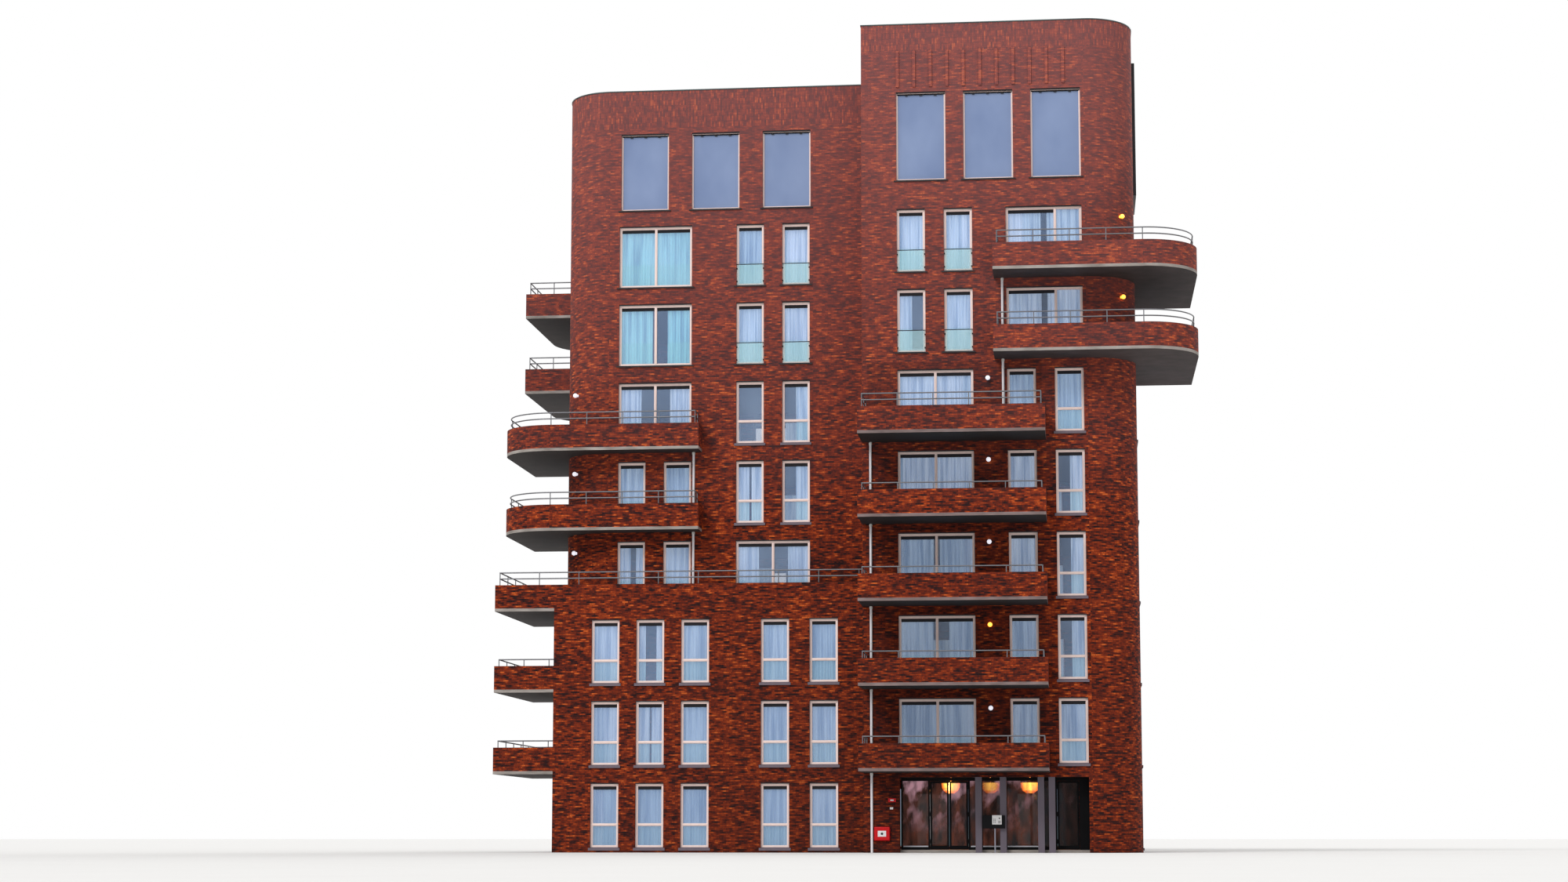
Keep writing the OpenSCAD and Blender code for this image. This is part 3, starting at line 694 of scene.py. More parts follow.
@dataclass(frozen=True)
class Cloth:
    """Light curtain cloth, a little different from window to window.

    Its lower part is tinted greener and the lower storeys are darkened with painted shade. Its faint
    glow stands in for the daylight that comes through it.
    """

    name: str
    colours: Tuple[Colour, Colour, Colour]
    glow: float = 0.42
    windows: float = 0.45
    threads: Point = (120.0, 120.0, 14.0)
    folds: Point = (7.0, 7.0, 0.3)
    fold_shade: Colour = tone(158, 176, 196)
    fold_share: float = 0.8
    tint: Colour = tone(146, 208, 198)
    tint_top: float = 0.36
    tint_share: float = 0.34
    low_shade: Colour = tone(34, 54, 88)
    low_shade_h: float = 18.0
    low_shade_share: float = 0.40
    low_shade_least: float = 0.06

    def material(self) -> bpy.types.Material:
        """Makes the cloth.

        Returns:
            Its material.
        """
        paint = Paint(self.name)
        place = paint.place()
        x, y, z = paint.parts(place)
        storeys = z / STOREY
        window = paint.vector((x * self.windows).floor(), (y * self.windows).floor(), storeys.floor())
        thread = paint.noise(paint.scaled(place, self.threads), 1.0, 2.0)
        fold = paint.noise(paint.scaled(place, self.folds), 1.0, 2.0)
        colour = paint.ramp(paint.chance(window), tuple(zip((0.0, 0.5, 1.0), self.colours)))
        shade = paint.ramp(fold, ((0.36, self.fold_shade), (0.58, WHITE)))
        colour = paint.mix(self.fold_share, colour, shade, "MULTIPLY")
        low = storeys.fraction() < self.tint_top
        colour = paint.mix(low * self.tint_share, colour, self.tint)
        # Painted shade: the cloth darkens towards the lower storeys
        low_shade = (1.0 - z / self.low_shade_h).held() * self.low_shade_share + self.low_shade_least
        colour = paint.mix(low_shade, colour, self.low_shade)
        paint.bump(thread, 0.0008, 0.4)
        return paint.finish({
            "Base Color": colour,
            "Roughness": 0.9,
            "Emission Color": colour,
            "Emission Strength": self.glow,
        })


@dataclass(frozen=True)
class Globe:
    """Opal glass that glows where a lamp is lit, and glows faintly with painted light where it is not."""

    name: str
    glow: float
    lit: Callable[[Wire, Wire], Wire]
    spots: float = 14.0
    shell: Colour = tone(226, 222, 212)
    haze: Colour = tone(190, 186, 176)
    warm: Colour = tone(255, 190, 84)
    rim: Colour = tone(255, 160, 50)
    unlit_glow: Colour = tone(80, 80, 84)

    def material(self) -> bpy.types.Material:
        """Makes the opal glass.

        Returns:
            Its material.
        """
        paint = Paint(self.name)
        place = paint.place()
        x, _, z = paint.parts(place)
        lit = self.lit(x, z)
        haze = paint.noise(place, self.spots, 2.0)
        shell = paint.mix(haze * 0.25, self.shell, self.haze)
        north = paint.parts(paint.facing())[1]
        warm = paint.mix((abs(north) * 1.6 - 0.7).held(), self.rim, self.warm)
        # Parts that are not lit glow faintly: painted light
        return paint.finish({
            "Emission Color": paint.mix(lit, self.unlit_glow, warm),
            "Emission Strength": self.glow,
            "Roughness": 0.3,
            "Base Color": paint.mix(lit, shell, self.warm),
        })


Finish = Union[Brickwork, Concrete, Gravel, Coat, Pane, Streaked, Cloth, Globe]


@dataclass(frozen=True)
class Wall:
    """A straight stretch of outer wall, seen from outside with its left end at origin."""

    name: str
    origin: Plan
    right: Plan
    inward: Plan

    def at(self, s: float, d: float, z: float) -> Point:
        """Turns a place on the wall into one in the block's frame.

        Args:
            s: The distance along the wall.
            d: The depth behind its face.
            z: The height.

        Returns:
            The place in the block's frame.
        """
        return (
            self.origin[0] + self.right[0] * s + self.inward[0] * d,
            self.origin[1] + self.right[1] * s + self.inward[1] * d,
            z,
        )


GROUND_PLAN = Wall("plan", (0.0, 0.0), (1.0, 0.0), (0.0, 1.0))


def narrowed(span: Plan, by: float) -> Plan:
    """Returns a span drawn in at both ends, or let out where the number is negative."""
    return span[0] + by, span[1] - by


def moved(span: Plan, by: float) -> Plan:
    """Returns a span moved along."""
    return span[0] + by, span[1] + by


def oblong(d: Plan, z: Plan) -> List[Plan]:
    """Returns an oblong profile from its two depths and its two heights."""
    return [(d[0], z[0]), (d[1], z[0]), (d[1], z[1]), (d[0], z[1])]


def rectangle(s: Plan, z: Plan, d: float) -> List[Point]:
    """Returns the corners of an upright rectangle at a depth."""
    return [(s[0], d, z[0]), (s[1], d, z[0]), (s[1], d, z[1]), (s[0], d, z[1])]


def quads(rows: int, columns: int, round_rows: bool = False, round_columns: bool = False) -> List[Face]:
    """Joins rows of points, numbered row by row, with four-sided faces.

    Args:
        rows: How many rows there are.
        columns: How many points a row has.
        round_rows: Whether the last row joins the first.
        round_columns: Whether a row's last point joins its first.

    Returns:
        The faces, as point numbers.
    """
    faces: List[Face] = []
    for row in range(rows if round_rows else rows - 1):
        near, far = row * columns, (row + 1) % rows * columns
        for column in range(columns if round_columns else columns - 1):
            beside = (column + 1) % columns
            faces.append((near + column, near + beside, far + beside, far + column))
    return faces


def tube(rows: int, columns: int) -> List[Face]:
    """Joins closed rows of points, numbered row by row, into a solid with both ends shut.

    Args:
        rows: How many rows there are.
        columns: How many points a row has.

    Returns:
        The faces, as point numbers.
    """
    last = (rows - 1) * columns
    ends = [tuple(range(columns)), tuple(range(last, last + columns))]
    return quads(rows, columns, round_columns=True) + ends


class Maker:
    """Gathers the faces of one piece, then makes the piece."""

    def __init__(self, wall: Wall = GROUND_PLAN) -> None:
        """Starts with no faces, in a wall's own directions.

        Args:
            wall: The wall.
        """
        self.wall = wall
        self.points: List[Point] = []
        self.faces: List[Face] = []

    def add(self, points: Sequence[Point], faces: Sequence[Face]) -> None:
        """Adds faces.

        Args:
            points: Their points, as s, d and z on the wall.
            faces: The numbers of each face's points.
        """
        start = len(self.points)
        self.points.extend(self.wall.at(*point) for point in points)
        self.faces.extend(tuple(start + i for i in face) for face in faces)

    def block(self, low: Point, high: Point, chamfer: float = 0.003) -> None:
        """Adds a block with chamfered edges.

        Args:
            low: The corner with the least s, d and z.
            high: The corner with the greatest.
            chamfer: How far each edge is cut back.
        """
        corners = [(a, b, c) for a in (0, 1) for b in (0, 1) for c in (0, 1)]
        points: List[Point] = []
        for corner in corners:
            edges = [high[i] if corner[i] else low[i] for i in range(3)]
            insets = [-chamfer if corner[i] else chamfer for i in range(3)]
            for axis in range(3):
                points.append(tuple(edges[i] + (0.0 if i == axis else insets[i]) for i in range(3)))
        faces: List[Face] = [tuple(range(i * 3, i * 3 + 3)) for i in range(len(corners))]

        def number(axis: int, side: int, u: int, v: int, a: int, b: int) -> int:
            """Returns a corner's first point number, from its side along each of three axes."""
            sides = {axis: side, u: a, v: b}
            return corners.index((sides[0], sides[1], sides[2])) * 3

        for axis in range(3):
            u, v = [i for i in range(3) if i != axis]
            for side in (0, 1):
                around = ((0, 0), (1, 0), (1, 1), (0, 1))
                faces.append(tuple(number(axis, side, u, v, a, b) + axis for a, b in around))
            for a in (0, 1):
                for b in (0, 1):
                    near, far = [number(axis, end, u, v, a, b) for end in (0, 1)]
                    faces.append((near + u, far + u, far + v, near + v))
        self.add(points, faces)

    def ring(self, s: Plan, z: Plan, profile: Sequence[Plan]) -> None:
        """Adds a mitred frame round a rectangle.

        Args:
            s: The rectangle's two ends along the wall.
            z: Its foot and its head.
            profile: The frame's closed profile, as inset and depth.
        """
        points: List[Point] = []
        for inset, d in profile:
            points += rectangle(narrowed(s, inset), narrowed(z, inset), d)
        self.add(points, quads(len(profile), 4, round_rows=True, round_columns=True))

    def strip(self, s: Plan, profile: Sequence[Plan]) -> None:
        """Adds a bar along the wall.

        Args:
            s: Its two ends.
            profile: Its closed profile, as depth and height.
        """
        points = [(end, d, z) for end in s for d, z in profile]
        self.add(points, tube(2, len(profile)))

    def turned(self, centre: Point, profile: Sequence[Plan], axis: int = 2, sides: int = 16) -> None:
        """Adds a turned form.

        Args:
            centre: A point on its axis, from which heights are measured.
            profile: Its radius and height pairs.
            axis: The direction of its axis, from 0 to 2.
            sides: How many sides it has.
        """
        points: List[Point] = []
        for radius, height in profile:
            for i in range(sides):
                angle = 2 * math.pi * i / sides
                local = [radius * math.cos(angle), radius * math.sin(angle)]
                local.insert(axis, height)
                points.append(tuple(centre[j] + local[j] for j in range(3)))
        self.add(points, tube(len(profile), sides))

    def piece(self, name: str, slot: str, finish: bpy.types.Material, closed: bool = True,
              smooth: bool = False) -> Optional[bpy.types.Object]:
        """Makes the piece, if it has faces.

        Args:
            name: The piece's name.
            slot: The record's material slot that it belongs to; not used.
            finish: Its material.
            closed: Whether its faces close into solids.
            smooth: Whether its faces are shaded smooth.

        Returns:
            The piece, or None if nothing was gathered.
        """
        if not self.faces:
            return None
        mesh = bpy.data.meshes.new(name)
        mesh.from_pydata([Vector(p) for p in self.points], [], self.faces)
        if closed:
            work = bmesh.new()
            work.from_mesh(mesh)
            bmesh.ops.recalc_face_normals(work, faces=work.faces)
            work.to_mesh(mesh)
            work.free()
        for polygon in mesh.polygons:
            polygon.use_smooth = smooth
        mesh.materials.append(finish)
        made = bpy.data.objects.new(name, mesh)
        bpy.context.scene.collection.objects.link(made)
        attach(made, BODY)
        log.info("%s: %d faces", name, len(self.faces))
        return made


class Kind(Enum):
    """How a window is made."""

    TRANSOM = "a sash over a fixed light"
    GUARD = "a full sash behind a glass guard"
    DOOR = "a balcony door"
    DOUBLE = "two lights beside each other"
    TALL = "one tall light"


class Drape(Enum):
    """How a window's curtains hang: a letter, and the shares that hang at the left and at the right."""

    FULL = ("F", 1.0, 0.0)
    PAIR = ("P", 0.30, 0.30)
    PARTED = ("S", 0.46, 0.46)
    DRAWN = ("D", 0.45, 0.34)
    LEFT = ("L", 0.52, 0.0)
    RIGHT = ("R", 0.0, 0.52)
    NONE = ("N", 0.0, 0.0)


@dataclass(frozen=True)
class Bay:
    """One window in a row, by its left edge, with the share of its width at which a bar splits it."""

    left: float
    width: float
    kind: Kind
    drape: Drape = Drape.FULL
    teal: bool = False
    split: float = 0.5


@dataclass(frozen=True)
class Row:
    """The windows of one storey of a wall, between their sill and their head."""

    low: float
    high: float
    bays: Tuple[Bay, ...]


def storey(level: int, places: Sequence[Bay]) -> Row:
    """Returns the row of windows of a usual storey."""
    return Row(STOREY * level + SILL, STOREY * level + HEAD, tuple(places))


def hung(code: str) -> Tuple[Drape, bool]:
    """Reads a curtain's letter, small for teal cloth."""
    found = next(drape for drape in Drape if drape.value[0] == code.upper())
    return found, code.islower()


def bays(codes: str, *places: Tuple[float, float, Kind]) -> List[Bay]:
    """Joins window places with their curtains.

    Args:
        codes: A letter for each window's curtains.
        places: Each window's left edge, width and kind.

    Returns:
        The windows.
    """
    made = []
    for code, (left, width, kind) in zip(codes, places):
        drape, teal = hung(code)
        made.append(Bay(left, width, kind, drape, teal))
    return made


def tall_row(low: float, high: float, first: float, pitch: float) -> Row:
    """Makes the three tall windows under a roof.

    Args:
        low: Their foot.
        high: Their head.
        first: The first one's left edge.
        pitch: How far apart their left edges are.

    Returns:
        The row.
    """
    tall = (Bay(first + i * pitch, TALL, Kind.TALL, Drape.NONE) for i in range(3))
    return Row(low, high, tuple(tall))


@dataclass
class Finishes:
    """The materials that the scene's own pieces share."""

    window_frame: bpy.types.Material
    pane: bpy.types.Material
    sky_pane: bpy.types.Material
    guard: bpy.types.Material
    vent: bpy.types.Material
    stone: bpy.types.Material
    white_cloth: bpy.types.Material
    teal_cloth: bpy.types.Material
    steel: bpy.types.Material
    aluminium: bpy.types.Material
    black: bpy.types.Material
    red: bpy.types.Material
    label: bpy.types.Material
    plastic: bpy.types.Material


@dataclass(frozen=True)
class Sill:
    """The sizes of a sill: how thick it is, and how far it stands out and runs past the window."""

    thick: float
    out: float
    over: float


STONE_SILL = Sill(0.10, 0.055, 0.06)
METAL_SILL = Sill(0.055, 0.050, 0.09)


@dataclass(eq=False)
class Hanging:
    """Curtains of one cloth that share a piece, with the sizes that they have when laid flat."""

    teal: bool
    maker: Maker
    width: float = 0.0
    height: float = 0.0
    area: float = 0.0


@dataclass
class WindowWall:
    """All the windows of one wall.

    The frames stand the reveal behind the wall's face, lap into the wall and take the
    bars' tenons. A tall window shows the slim share of its frame's width. The transom
    is the share of a window's height above its bar. Sills below stone_levels are of
    stone. A curtain's pleats are pleat_foot deep at its foot, and pleat_less shallower
    at its head, and a piece takes no more curtains once it is cloth_limit wide.
    """

    wall: Wall
    rows: Sequence[Row]
    reveal: float = 0.10
    frame_w: float = 0.058
    frame_d: float = 0.085
    frame_bevel: float = 0.006
    lap: float = 0.004
    tenon: float = 0.01
    sash_w: float = 0.030
    sash_in: float = 0.012
    sash_out: float = 0.008
    bead: float = 0.012
    bar_w: float = 0.038
    slim: float = 0.35
    transom: float = 0.64
    glass_d: float = 0.045
    glass_t: float = 0.012
    vent_h: float = 0.120
    vent_in: float = 0.022
    slats: int = 4
    slat_step: float = 0.028
    slat_up: float = 0.008
    slat: Tuple[Plan, ...] = ((0.0, 0.0), (0.016, 0.016), (0.016, 0.020), (0.0, 0.005))
    lintel: float = 0.04
    lintel_d: float = 0.025
    stone_levels: float = 17.9
    guard_d: Plan = (0.052, 0.064)
    guard_in: float = 0.03
    guard_rail_d: Plan = (0.044, 0.072)
    guard_rail_z: Plan = (-0.012, 0.014)
    clamp_d: Plan = (0.040, 0.076)
    clamp_w: float = 0.04
    clamp_up: float = 0.03
    clamp_z: float = 0.16
    screen_in: float = 0.004
    screen_d: Plan = (-0.004, 0.040)
    screen_z: Plan = (-0.040, 0.002)
    clip_half: float = 0.05
    clip_d: Plan = (-0.008, 0.03)
    clip_z: Plan = (-0.075, -0.030)
    screen_clips: Tuple[float, ...] = (0.2, 0.5, 0.8)
    cloth_in: float = 0.03
    cloth_up: float = 0.05
    cloth_d: float = 0.255
    cloth_levels: Tuple[float, ...] = (0.0, 0.25, 0.6, 0.92, 1.0)
    measured_level: int = 2
    pleat: float = 0.105
    pleat_steps: int = 8
    pleat_foot: float = 0.030
    pleat_less: float = 0.014
    cloth_limit: float = 24.0
    seed: int = 11
    dice: random.Random = field(init=False)
    frames: Maker = field(init=False)
    panes: Maker = field(init=False)
    sky_panes: Maker = field(init=False)
    vents: Maker = field(init=False)
    sills: Maker = field(init=False)
    guards: Maker = field(init=False)
    guard_rails: Maker = field(init=False)
    cloths: List[Hanging] = field(default_factory=list)

    def __post_init__(self) -> None:
        """Starts an empty gathering for each kind of piece."""
        for name in ("frames", "panes", "sky_panes", "vents", "sills", "guards", "guard_rails"):
            setattr(self, name, Maker(self.wall))
        self.dice = random.Random(self.seed)

    def _frame_profile(self) -> List[Plan]:
        """Draws the fixed frame.

        Returns:
            Its profile, as inset and depth.
        """
        face, back, width = self.reveal, self.reveal + self.frame_d, self.frame_w
        return [
            (-self.lap, face),
            (width - self.frame_bevel, face),
            (width, face + self.frame_bevel),
            (width, back),
            (-self.lap, back),
        ]

    def _sash_profile(self) -> List[Plan]:
        """Draws a sash with its glazing bead.

        Returns:
            Its profile, as inset and depth.
        """
        face, back = self.reveal + self.sash_in, self.reveal + self.frame_d - self.sash_out
        width = self.sash_w
        return [
            (0.0, face),
            (width - self.bead, face),
            (width, face + self.bead),
            (width, back),
            (0.0, back),
        ]

    def _light(self, s: Plan, z: Plan, vent: bool, sky: bool = False) -> None:
        """Adds one glazed sash.

        Args:
            s: Its two ends along the wall.
            z: Its foot and its head.
            vent: Whether a vent runs along its top.
            sky: Whether its glass takes the painted sky reflection.
        """
        self.frames.ring(s, z, self._sash_profile())
        inset = self.sash_w - self.lap
        glass_s, glass_z = narrowed(s, inset), narrowed(z, inset)
        depth = self.reveal + self.glass_d
        glass = self.sky_panes if sky else self.panes
        glass.block((glass_s[0], depth, glass_z[0]), (glass_s[1], depth + self.glass_t, glass_z[1]), 0.001)
        if vent:
            self._vent(s, z)

    def _vent(self, s: Plan, z: Plan) -> None:
        """Adds a louvred vent along the top of a sash's glass.

        Args:
            s: The sash's two ends along the wall.
            z: Its foot and its head.
        """
        inset = self.sash_w - self.lap / 2
        ends = narrowed(s, inset)
        top = z[1] - inset
        face = self.reveal + self.vent_in
        # The vent is as tall as the dark band under the window head: partly the vent itself, partly painted
        # shade under the head
        self.vents.block((ends[0], face + 0.014, top - self.vent_h), (ends[1], face + 0.05, top))
        for number in range(self.slats):
            low = top - self.vent_h + self.slat_up + number * self.slat_step
            self.vents.strip(ends, [(face + d, low + up) for d, up in self.slat])

    def _sill(self, bay: Bay, low: float) -> None:
        """Adds the sill under a window, of thick stone on the lower storeys and thin above.

        Args:
            bay: The window.
            low: The foot of its opening.
        """
        stone = low < self.stone_levels
        sill = STONE_SILL if stone else METAL_SILL
        maker = self.sills if stone else self.vents
        s = (bay.left, bay.left + bay.width)
        out, back, under = -sill.out, self.reveal + 0.02, low - sill.thick
        nose = [
            (out, under),
            (out + 0.008, under - 0.004),
            (-0.001, under + 0.002),
            (-0.001, low - 0.002),
            (out + 0.006, low - 0.008),
            (out, low - 0.014),
        ]
        slope = [(-0.004, low - 0.006), (-0.004, low + 0.006), (back, low + 0.022), (back, low + 0.001)]
        maker.strip(narrowed(s, -sill.over), nose)
        maker.strip(narrowed(s, 0.002), slope)

    def _hanging(self, teal: bool) -> Hanging:
        """Finds the piece that takes the next curtain, and puts it last.

        Args:
            teal: Whether the curtain is of teal cloth.

        Returns:
            The piece, a new one where none has room.
        """
        roomy = [piece for piece in self.cloths if piece.teal == teal and piece.width <= self.cloth_limit]
        if not roomy:
            self.cloths.append(Hanging(teal, Maker(self.wall)))
        elif roomy[-1] is not self.cloths[-1]:
            self.cloths.remove(roomy[0])
            self.cloths.append(roomy[0])
        return self.cloths[-1]

    def _curtain(self, teal: bool, s: Plan, z: Plan) -> None:
        """Hangs one pleated curtain.

        Args:
            teal: Whether it is of teal cloth.
            s: Its two ends along the wall.
            z: Its foot and its head.
        """
        piece = self._hanging(teal)
        width, height = s[1] - s[0], z[1] - z[0]
        columns = max(self.pleat_steps, round(width / (self.pleat / self.pleat_steps)))
        phase = self.dice.uniform(0, 2 * math.pi)
        swings = [self.dice.uniform(0.6, 1.15) for _ in range(columns // self.pleat_steps + 2)]
        points: List[Point] = []
        for share in self.cloth_levels:
            for i in range(columns + 1):
                run = width * i / columns
                fold = (self.pleat_foot - self.pleat_less * share) * swings[i // self.pleat_steps]
                depth = self.cloth_d + fold * math.sin(2 * math.pi * run / self.pleat + phase)
                points.append((s[0] + run, depth, z[0] + height * share))
        wide = columns + 1
        piece.maker.add(points, quads(len(self.cloth_levels), wide))
        line = points[self.measured_level * wide:(self.measured_level + 1) * wide]
        flat = sum(math.dist(a[:2], b[:2]) for a, b in zip(line, line[1:]))
        piece.width += flat
        piece.height = max(piece.height, height)
        piece.area += flat * height

    def _drapes(self, bay: Bay, s: Plan, z: Plan) -> None:
        """Hangs a window's curtains as its letter says.

        Args:
            bay: The window.
            s: The two ends of what they can cover along the wall.
            z: Their foot and their head.
        """
        width = s[1] - s[0]
        _, left, right = bay.drape.value
        if left:
            self._curtain(bay.teal, (s[0], s[0] + width * left), z)
        if right:
            self._curtain(bay.teal, (s[1] - width * right, s[1]), z)

    def _window(self, row: Row, bay: Bay) -> None:
        """Builds one window.

        Args:
            row: The row that it stands in.
            bay: Its place in the row and its kind.
        """
        s = (bay.left, bay.left + bay.width)
        z = (row.low + 0.004, row.high - self.lintel)
        face, back = self.reveal, self.reveal + self.frame_d
        half = self.bar_w / 2
        low = (s[0] - 0.003, self.lintel_d, z[1])
        self.vents.block(low, (s[1] + 0.003, face + 0.05, row.high + 0.003), 0.004)
        self.frames.ring(s, z, self._frame_profile())
        inner_s, inner_z = narrowed(s, self.frame_w), narrowed(z, self.frame_w)
        if bay.kind is Kind.TRANSOM:
            bar = z[1] - (z[1] - z[0]) * self.transom
            ends = narrowed(inner_s, -self.tenon)
            self.frames.block((ends[0], face, bar - half), (ends[1], back, bar + half), 0.005)
            self._light(inner_s, (bar + half, inner_z[1]), True)
            self._light(inner_s, (inner_z[0], bar - half), False)
        elif bay.kind is Kind.DOUBLE:
            bar = s[0] + bay.width * bay.split
            ends = narrowed(inner_z, -self.tenon)
            self.frames.block((bar - half, face, ends[0]), (bar + half, back, ends[1]), 0.005)
            self._light((inner_s[0], bar - half), inner_z, True)
            self._light((bar + half, inner_s[1]), inner_z, bay.split == 0.5)
        elif bay.kind is Kind.TALL:
            slim = self.frame_w * self.slim
            inner_s, inner_z = narrowed(s, slim), narrowed(z, slim)
            self._light(inner_s, inner_z, False, sky=True)
            self._screen(inner_s, inner_z[1])
        else:
            self._light(inner_s, inner_z, True)
        if bay.kind is Kind.GUARD:
            self._guard(s, z)
        self._sill(bay, row.low)
        self._drapes(bay, narrowed(s, self.cloth_in), narrowed((row.low, row.high), self.cloth_up))

    def _screen(self, s: Plan, top: float) -> None:
        """Adds the sun screen's slender bar and its clips under the head of a tall window.

        Args:
            s: The bar's two ends along the wall.
            top: The head of the glass.
        """
        face = self.reveal + self.screen_in
        self.vents.strip(s, oblong(moved(self.screen_d, face), moved(self.screen_z, top)))
        near, far = moved(self.clip_d, face)
        low, high = moved(self.clip_z, top)
        for share in self.screen_clips:
            left, right = narrowed((s[0] + (s[1] - s[0]) * share,) * 2, -self.clip_half)
            self.vents.block((left, near, low), (right, far, high))

    def _guard(self, s: Plan, z: Plan) -> None:
        """Adds the glass guard before the lower part of a window, with its rail and clamps.

        Args:
            s: The window's two ends along the wall.
            z: Its foot and its head.
        """
        top = z[1] - (z[1] - z[0]) * (self.transom + 0.01)
        left, right = narrowed(s, self.guard_in)
        near, far = self.guard_d
        self.guards.block((left, near, z[0] + self.guard_in), (right, far, top), 0.002)
        rail = oblong(self.guard_rail_d, moved(self.guard_rail_z, top))
        self.guard_rails.strip(narrowed(s, self.lap), rail)
        near, far = self.clamp_d
        width, up = self.clamp_w, self.clamp_up
        for side in (s[0] + 0.002, s[1] - 0.002 - width):
            for height in (z[0] + self.clamp_z, top - self.clamp_z):
                self.guard_rails.block((side, near, height - up), (side + width, far, height + up))

    def build(self) -> None:
        """Builds every window of the wall."""
        for row in self.rows:
            for bay in row.bays:
                self._window(row, bay)

    def dress(self, finishes: Finishes) -> None:
        """Makes the wall's pieces.

        Args:
            finishes: The materials that they share.
        """
        name = self.wall.name
        self.frames.piece(f"{name}_window_frames", "window_frame", finishes.window_frame)
        self.panes.piece(f"{name}_window_panes", "window_pane", finishes.pane)
        self.sky_panes.piece(f"{name}_tall_panes", "window_pane", finishes.sky_pane)
        self.vents.piece(f"{name}_window_vents", "vent_metal", finishes.vent)
        self.sills.piece(f"{name}_window_sills", "window_sill", finishes.stone)
        self.guards.piece(f"{name}_glass_guards", "window_pane", finishes.guard)
        self.guard_rails.piece(f"{name}_guard_rails", "vent_metal", finishes.vent)
        for number, hanging in enumerate(self.cloths):
            title = f"{name}_curtains_{number}"
            cloth = finishes.teal_cloth if hanging.teal else finishes.white_cloth
            made = hanging.maker.piece(title, "curtain_cloth", cloth, closed=False, smooth=True)
            area = min(hanging.area, hanging.width * hanging.height)


def tower_front() -> WindowWall:
    """Lays out the tower's front windows.

    Returns:
        The wall with them.
    """
    first, second, third = 1.30, 3.03, 5.30
    places = ((first, WIDE, Kind.DOUBLE), (third, SINGLE, Kind.DOOR), (7.03, SINGLE, Kind.TRANSOM))
    codes = ("FFF", "DFR", "SFR", "FFR", "FFF")
    rows = [storey(level, bays(code, *places)) for level, code in enumerate(codes, 1)]
    places = ((first, SINGLE, Kind.GUARD), (second, SINGLE, Kind.GUARD), (third, WIDE, Kind.DOUBLE))
    for level, code in ((6, "LFS"), (7, "FFS")):
        made = bays(code, *places)
        made[2] = replace(made[2], split=0.65)
        rows.append(storey(level, made))
    rows.append(tall_row(24.60, 27.94, first, 2.475))
    return WindowWall(Wall("tower_front", (0.75, TOWER_FACE), (1, 0), (0, 1)), rows)


def wing_front() -> WindowWall:
    """Lays out the wing's front windows, above the terrace.

    Returns:
        The wall with them.
    """
    first, second, third, fourth = 0.37, 2.10, 4.83, 6.56
    doors = ((first, SINGLE, Kind.DOOR), (second, SINGLE, Kind.DOOR))
    wide = (first, WIDE, Kind.DOUBLE)
    plain = ((third, SINGLE, Kind.TRANSOM), (fourth, SINGLE, Kind.TRANSOM))
    guarded = ((third, SINGLE, Kind.GUARD), (fourth, SINGLE, Kind.GUARD))
    rows = [
        storey(3, bays("DFP", *doors, (third, WIDE, Kind.DOUBLE))),
        storey(4, bays("FFSR", *doors, *plain)),
        storey(5, bays("PNR", wide, *plain)),
        storey(6, bays("dFF", wide, *guarded)),
        storey(7, bays("fFF", wide, *guarded)),
        tall_row(24.14, 27.11, 0.42, 2.70),
    ]
    return WindowWall(Wall("wing_front", (-BEND_X, WING_FACE), (1, 0), (0, 1)), rows, seed=12)


def base_front() -> WindowWall:
    """Lays out the base's front windows.

    Returns:
        The wall with them.
    """
    places = [(left, SINGLE, Kind.TRANSOM) for left in (1.05, 2.715, 4.38, 7.33, 9.12)]
    codes = ("FFFFF", "FSFFF", "FPFFF")
    rows = [storey(level, bays(code, *places)) for level, code in enumerate(codes)]
    return WindowWall(Wall("base_front", (-10.39, BASE_FACE), (1, 0), (0, 1)), rows, seed=13)


def right_side() -> WindowWall:
    """Lays out the tower's right windows.

    Returns:
        The wall with them.
    """
    wide, single = 0.70, 5.20
    codes = ("FF", "FR", "PF", "FF", "LF", "FP", "PF", "FF")
    rows = []
    for level, code in enumerate(codes):
        kind = Kind.GUARD if level > 5 else Kind.TRANSOM
        rows.append(storey(level, bays(code, (wide, WIDE, Kind.DOUBLE), (single, SINGLE, kind))))
    rows.append(Row(24.60, 29.25, tuple(bays("NN", (wide, WIDE, Kind.TALL), (single, SINGLE, Kind.TALL)))))
    return WindowWall(Wall("right_side", (SIDE_FACE, TOWER_BEND), (0, 1), (-1, 0)), rows, seed=14)


def left_side() -> WindowWall:
    """Lays out the windows of the base's and the wing's left side.

    Returns:
        The wall with them.
    """
    lower = ((0.70, SINGLE, Kind.TRANSOM), (3.48, WIDE, Kind.DOUBLE))
    upper = ((0.70, WIDE, Kind.DOUBLE), (5.21, SINGLE, Kind.GUARD))
    top = ((0.70, WIDE, Kind.DOUBLE), (5.21, SINGLE, Kind.TALL))
    codes = ("FF", "FP", "PF", "FF", "FL", "PF", "FF", "FR")
    rows = [storey(level, bays(code, *(lower if level < 6 else upper))) for level, code in enumerate(codes)]
    rows.append(Row(24.14, 27.11, tuple(bays("PN", *top))))
    return WindowWall(Wall("left_side", (-SIDE_FACE, REAR_BEND), (0, -1), (1, 0)), rows, seed=15)


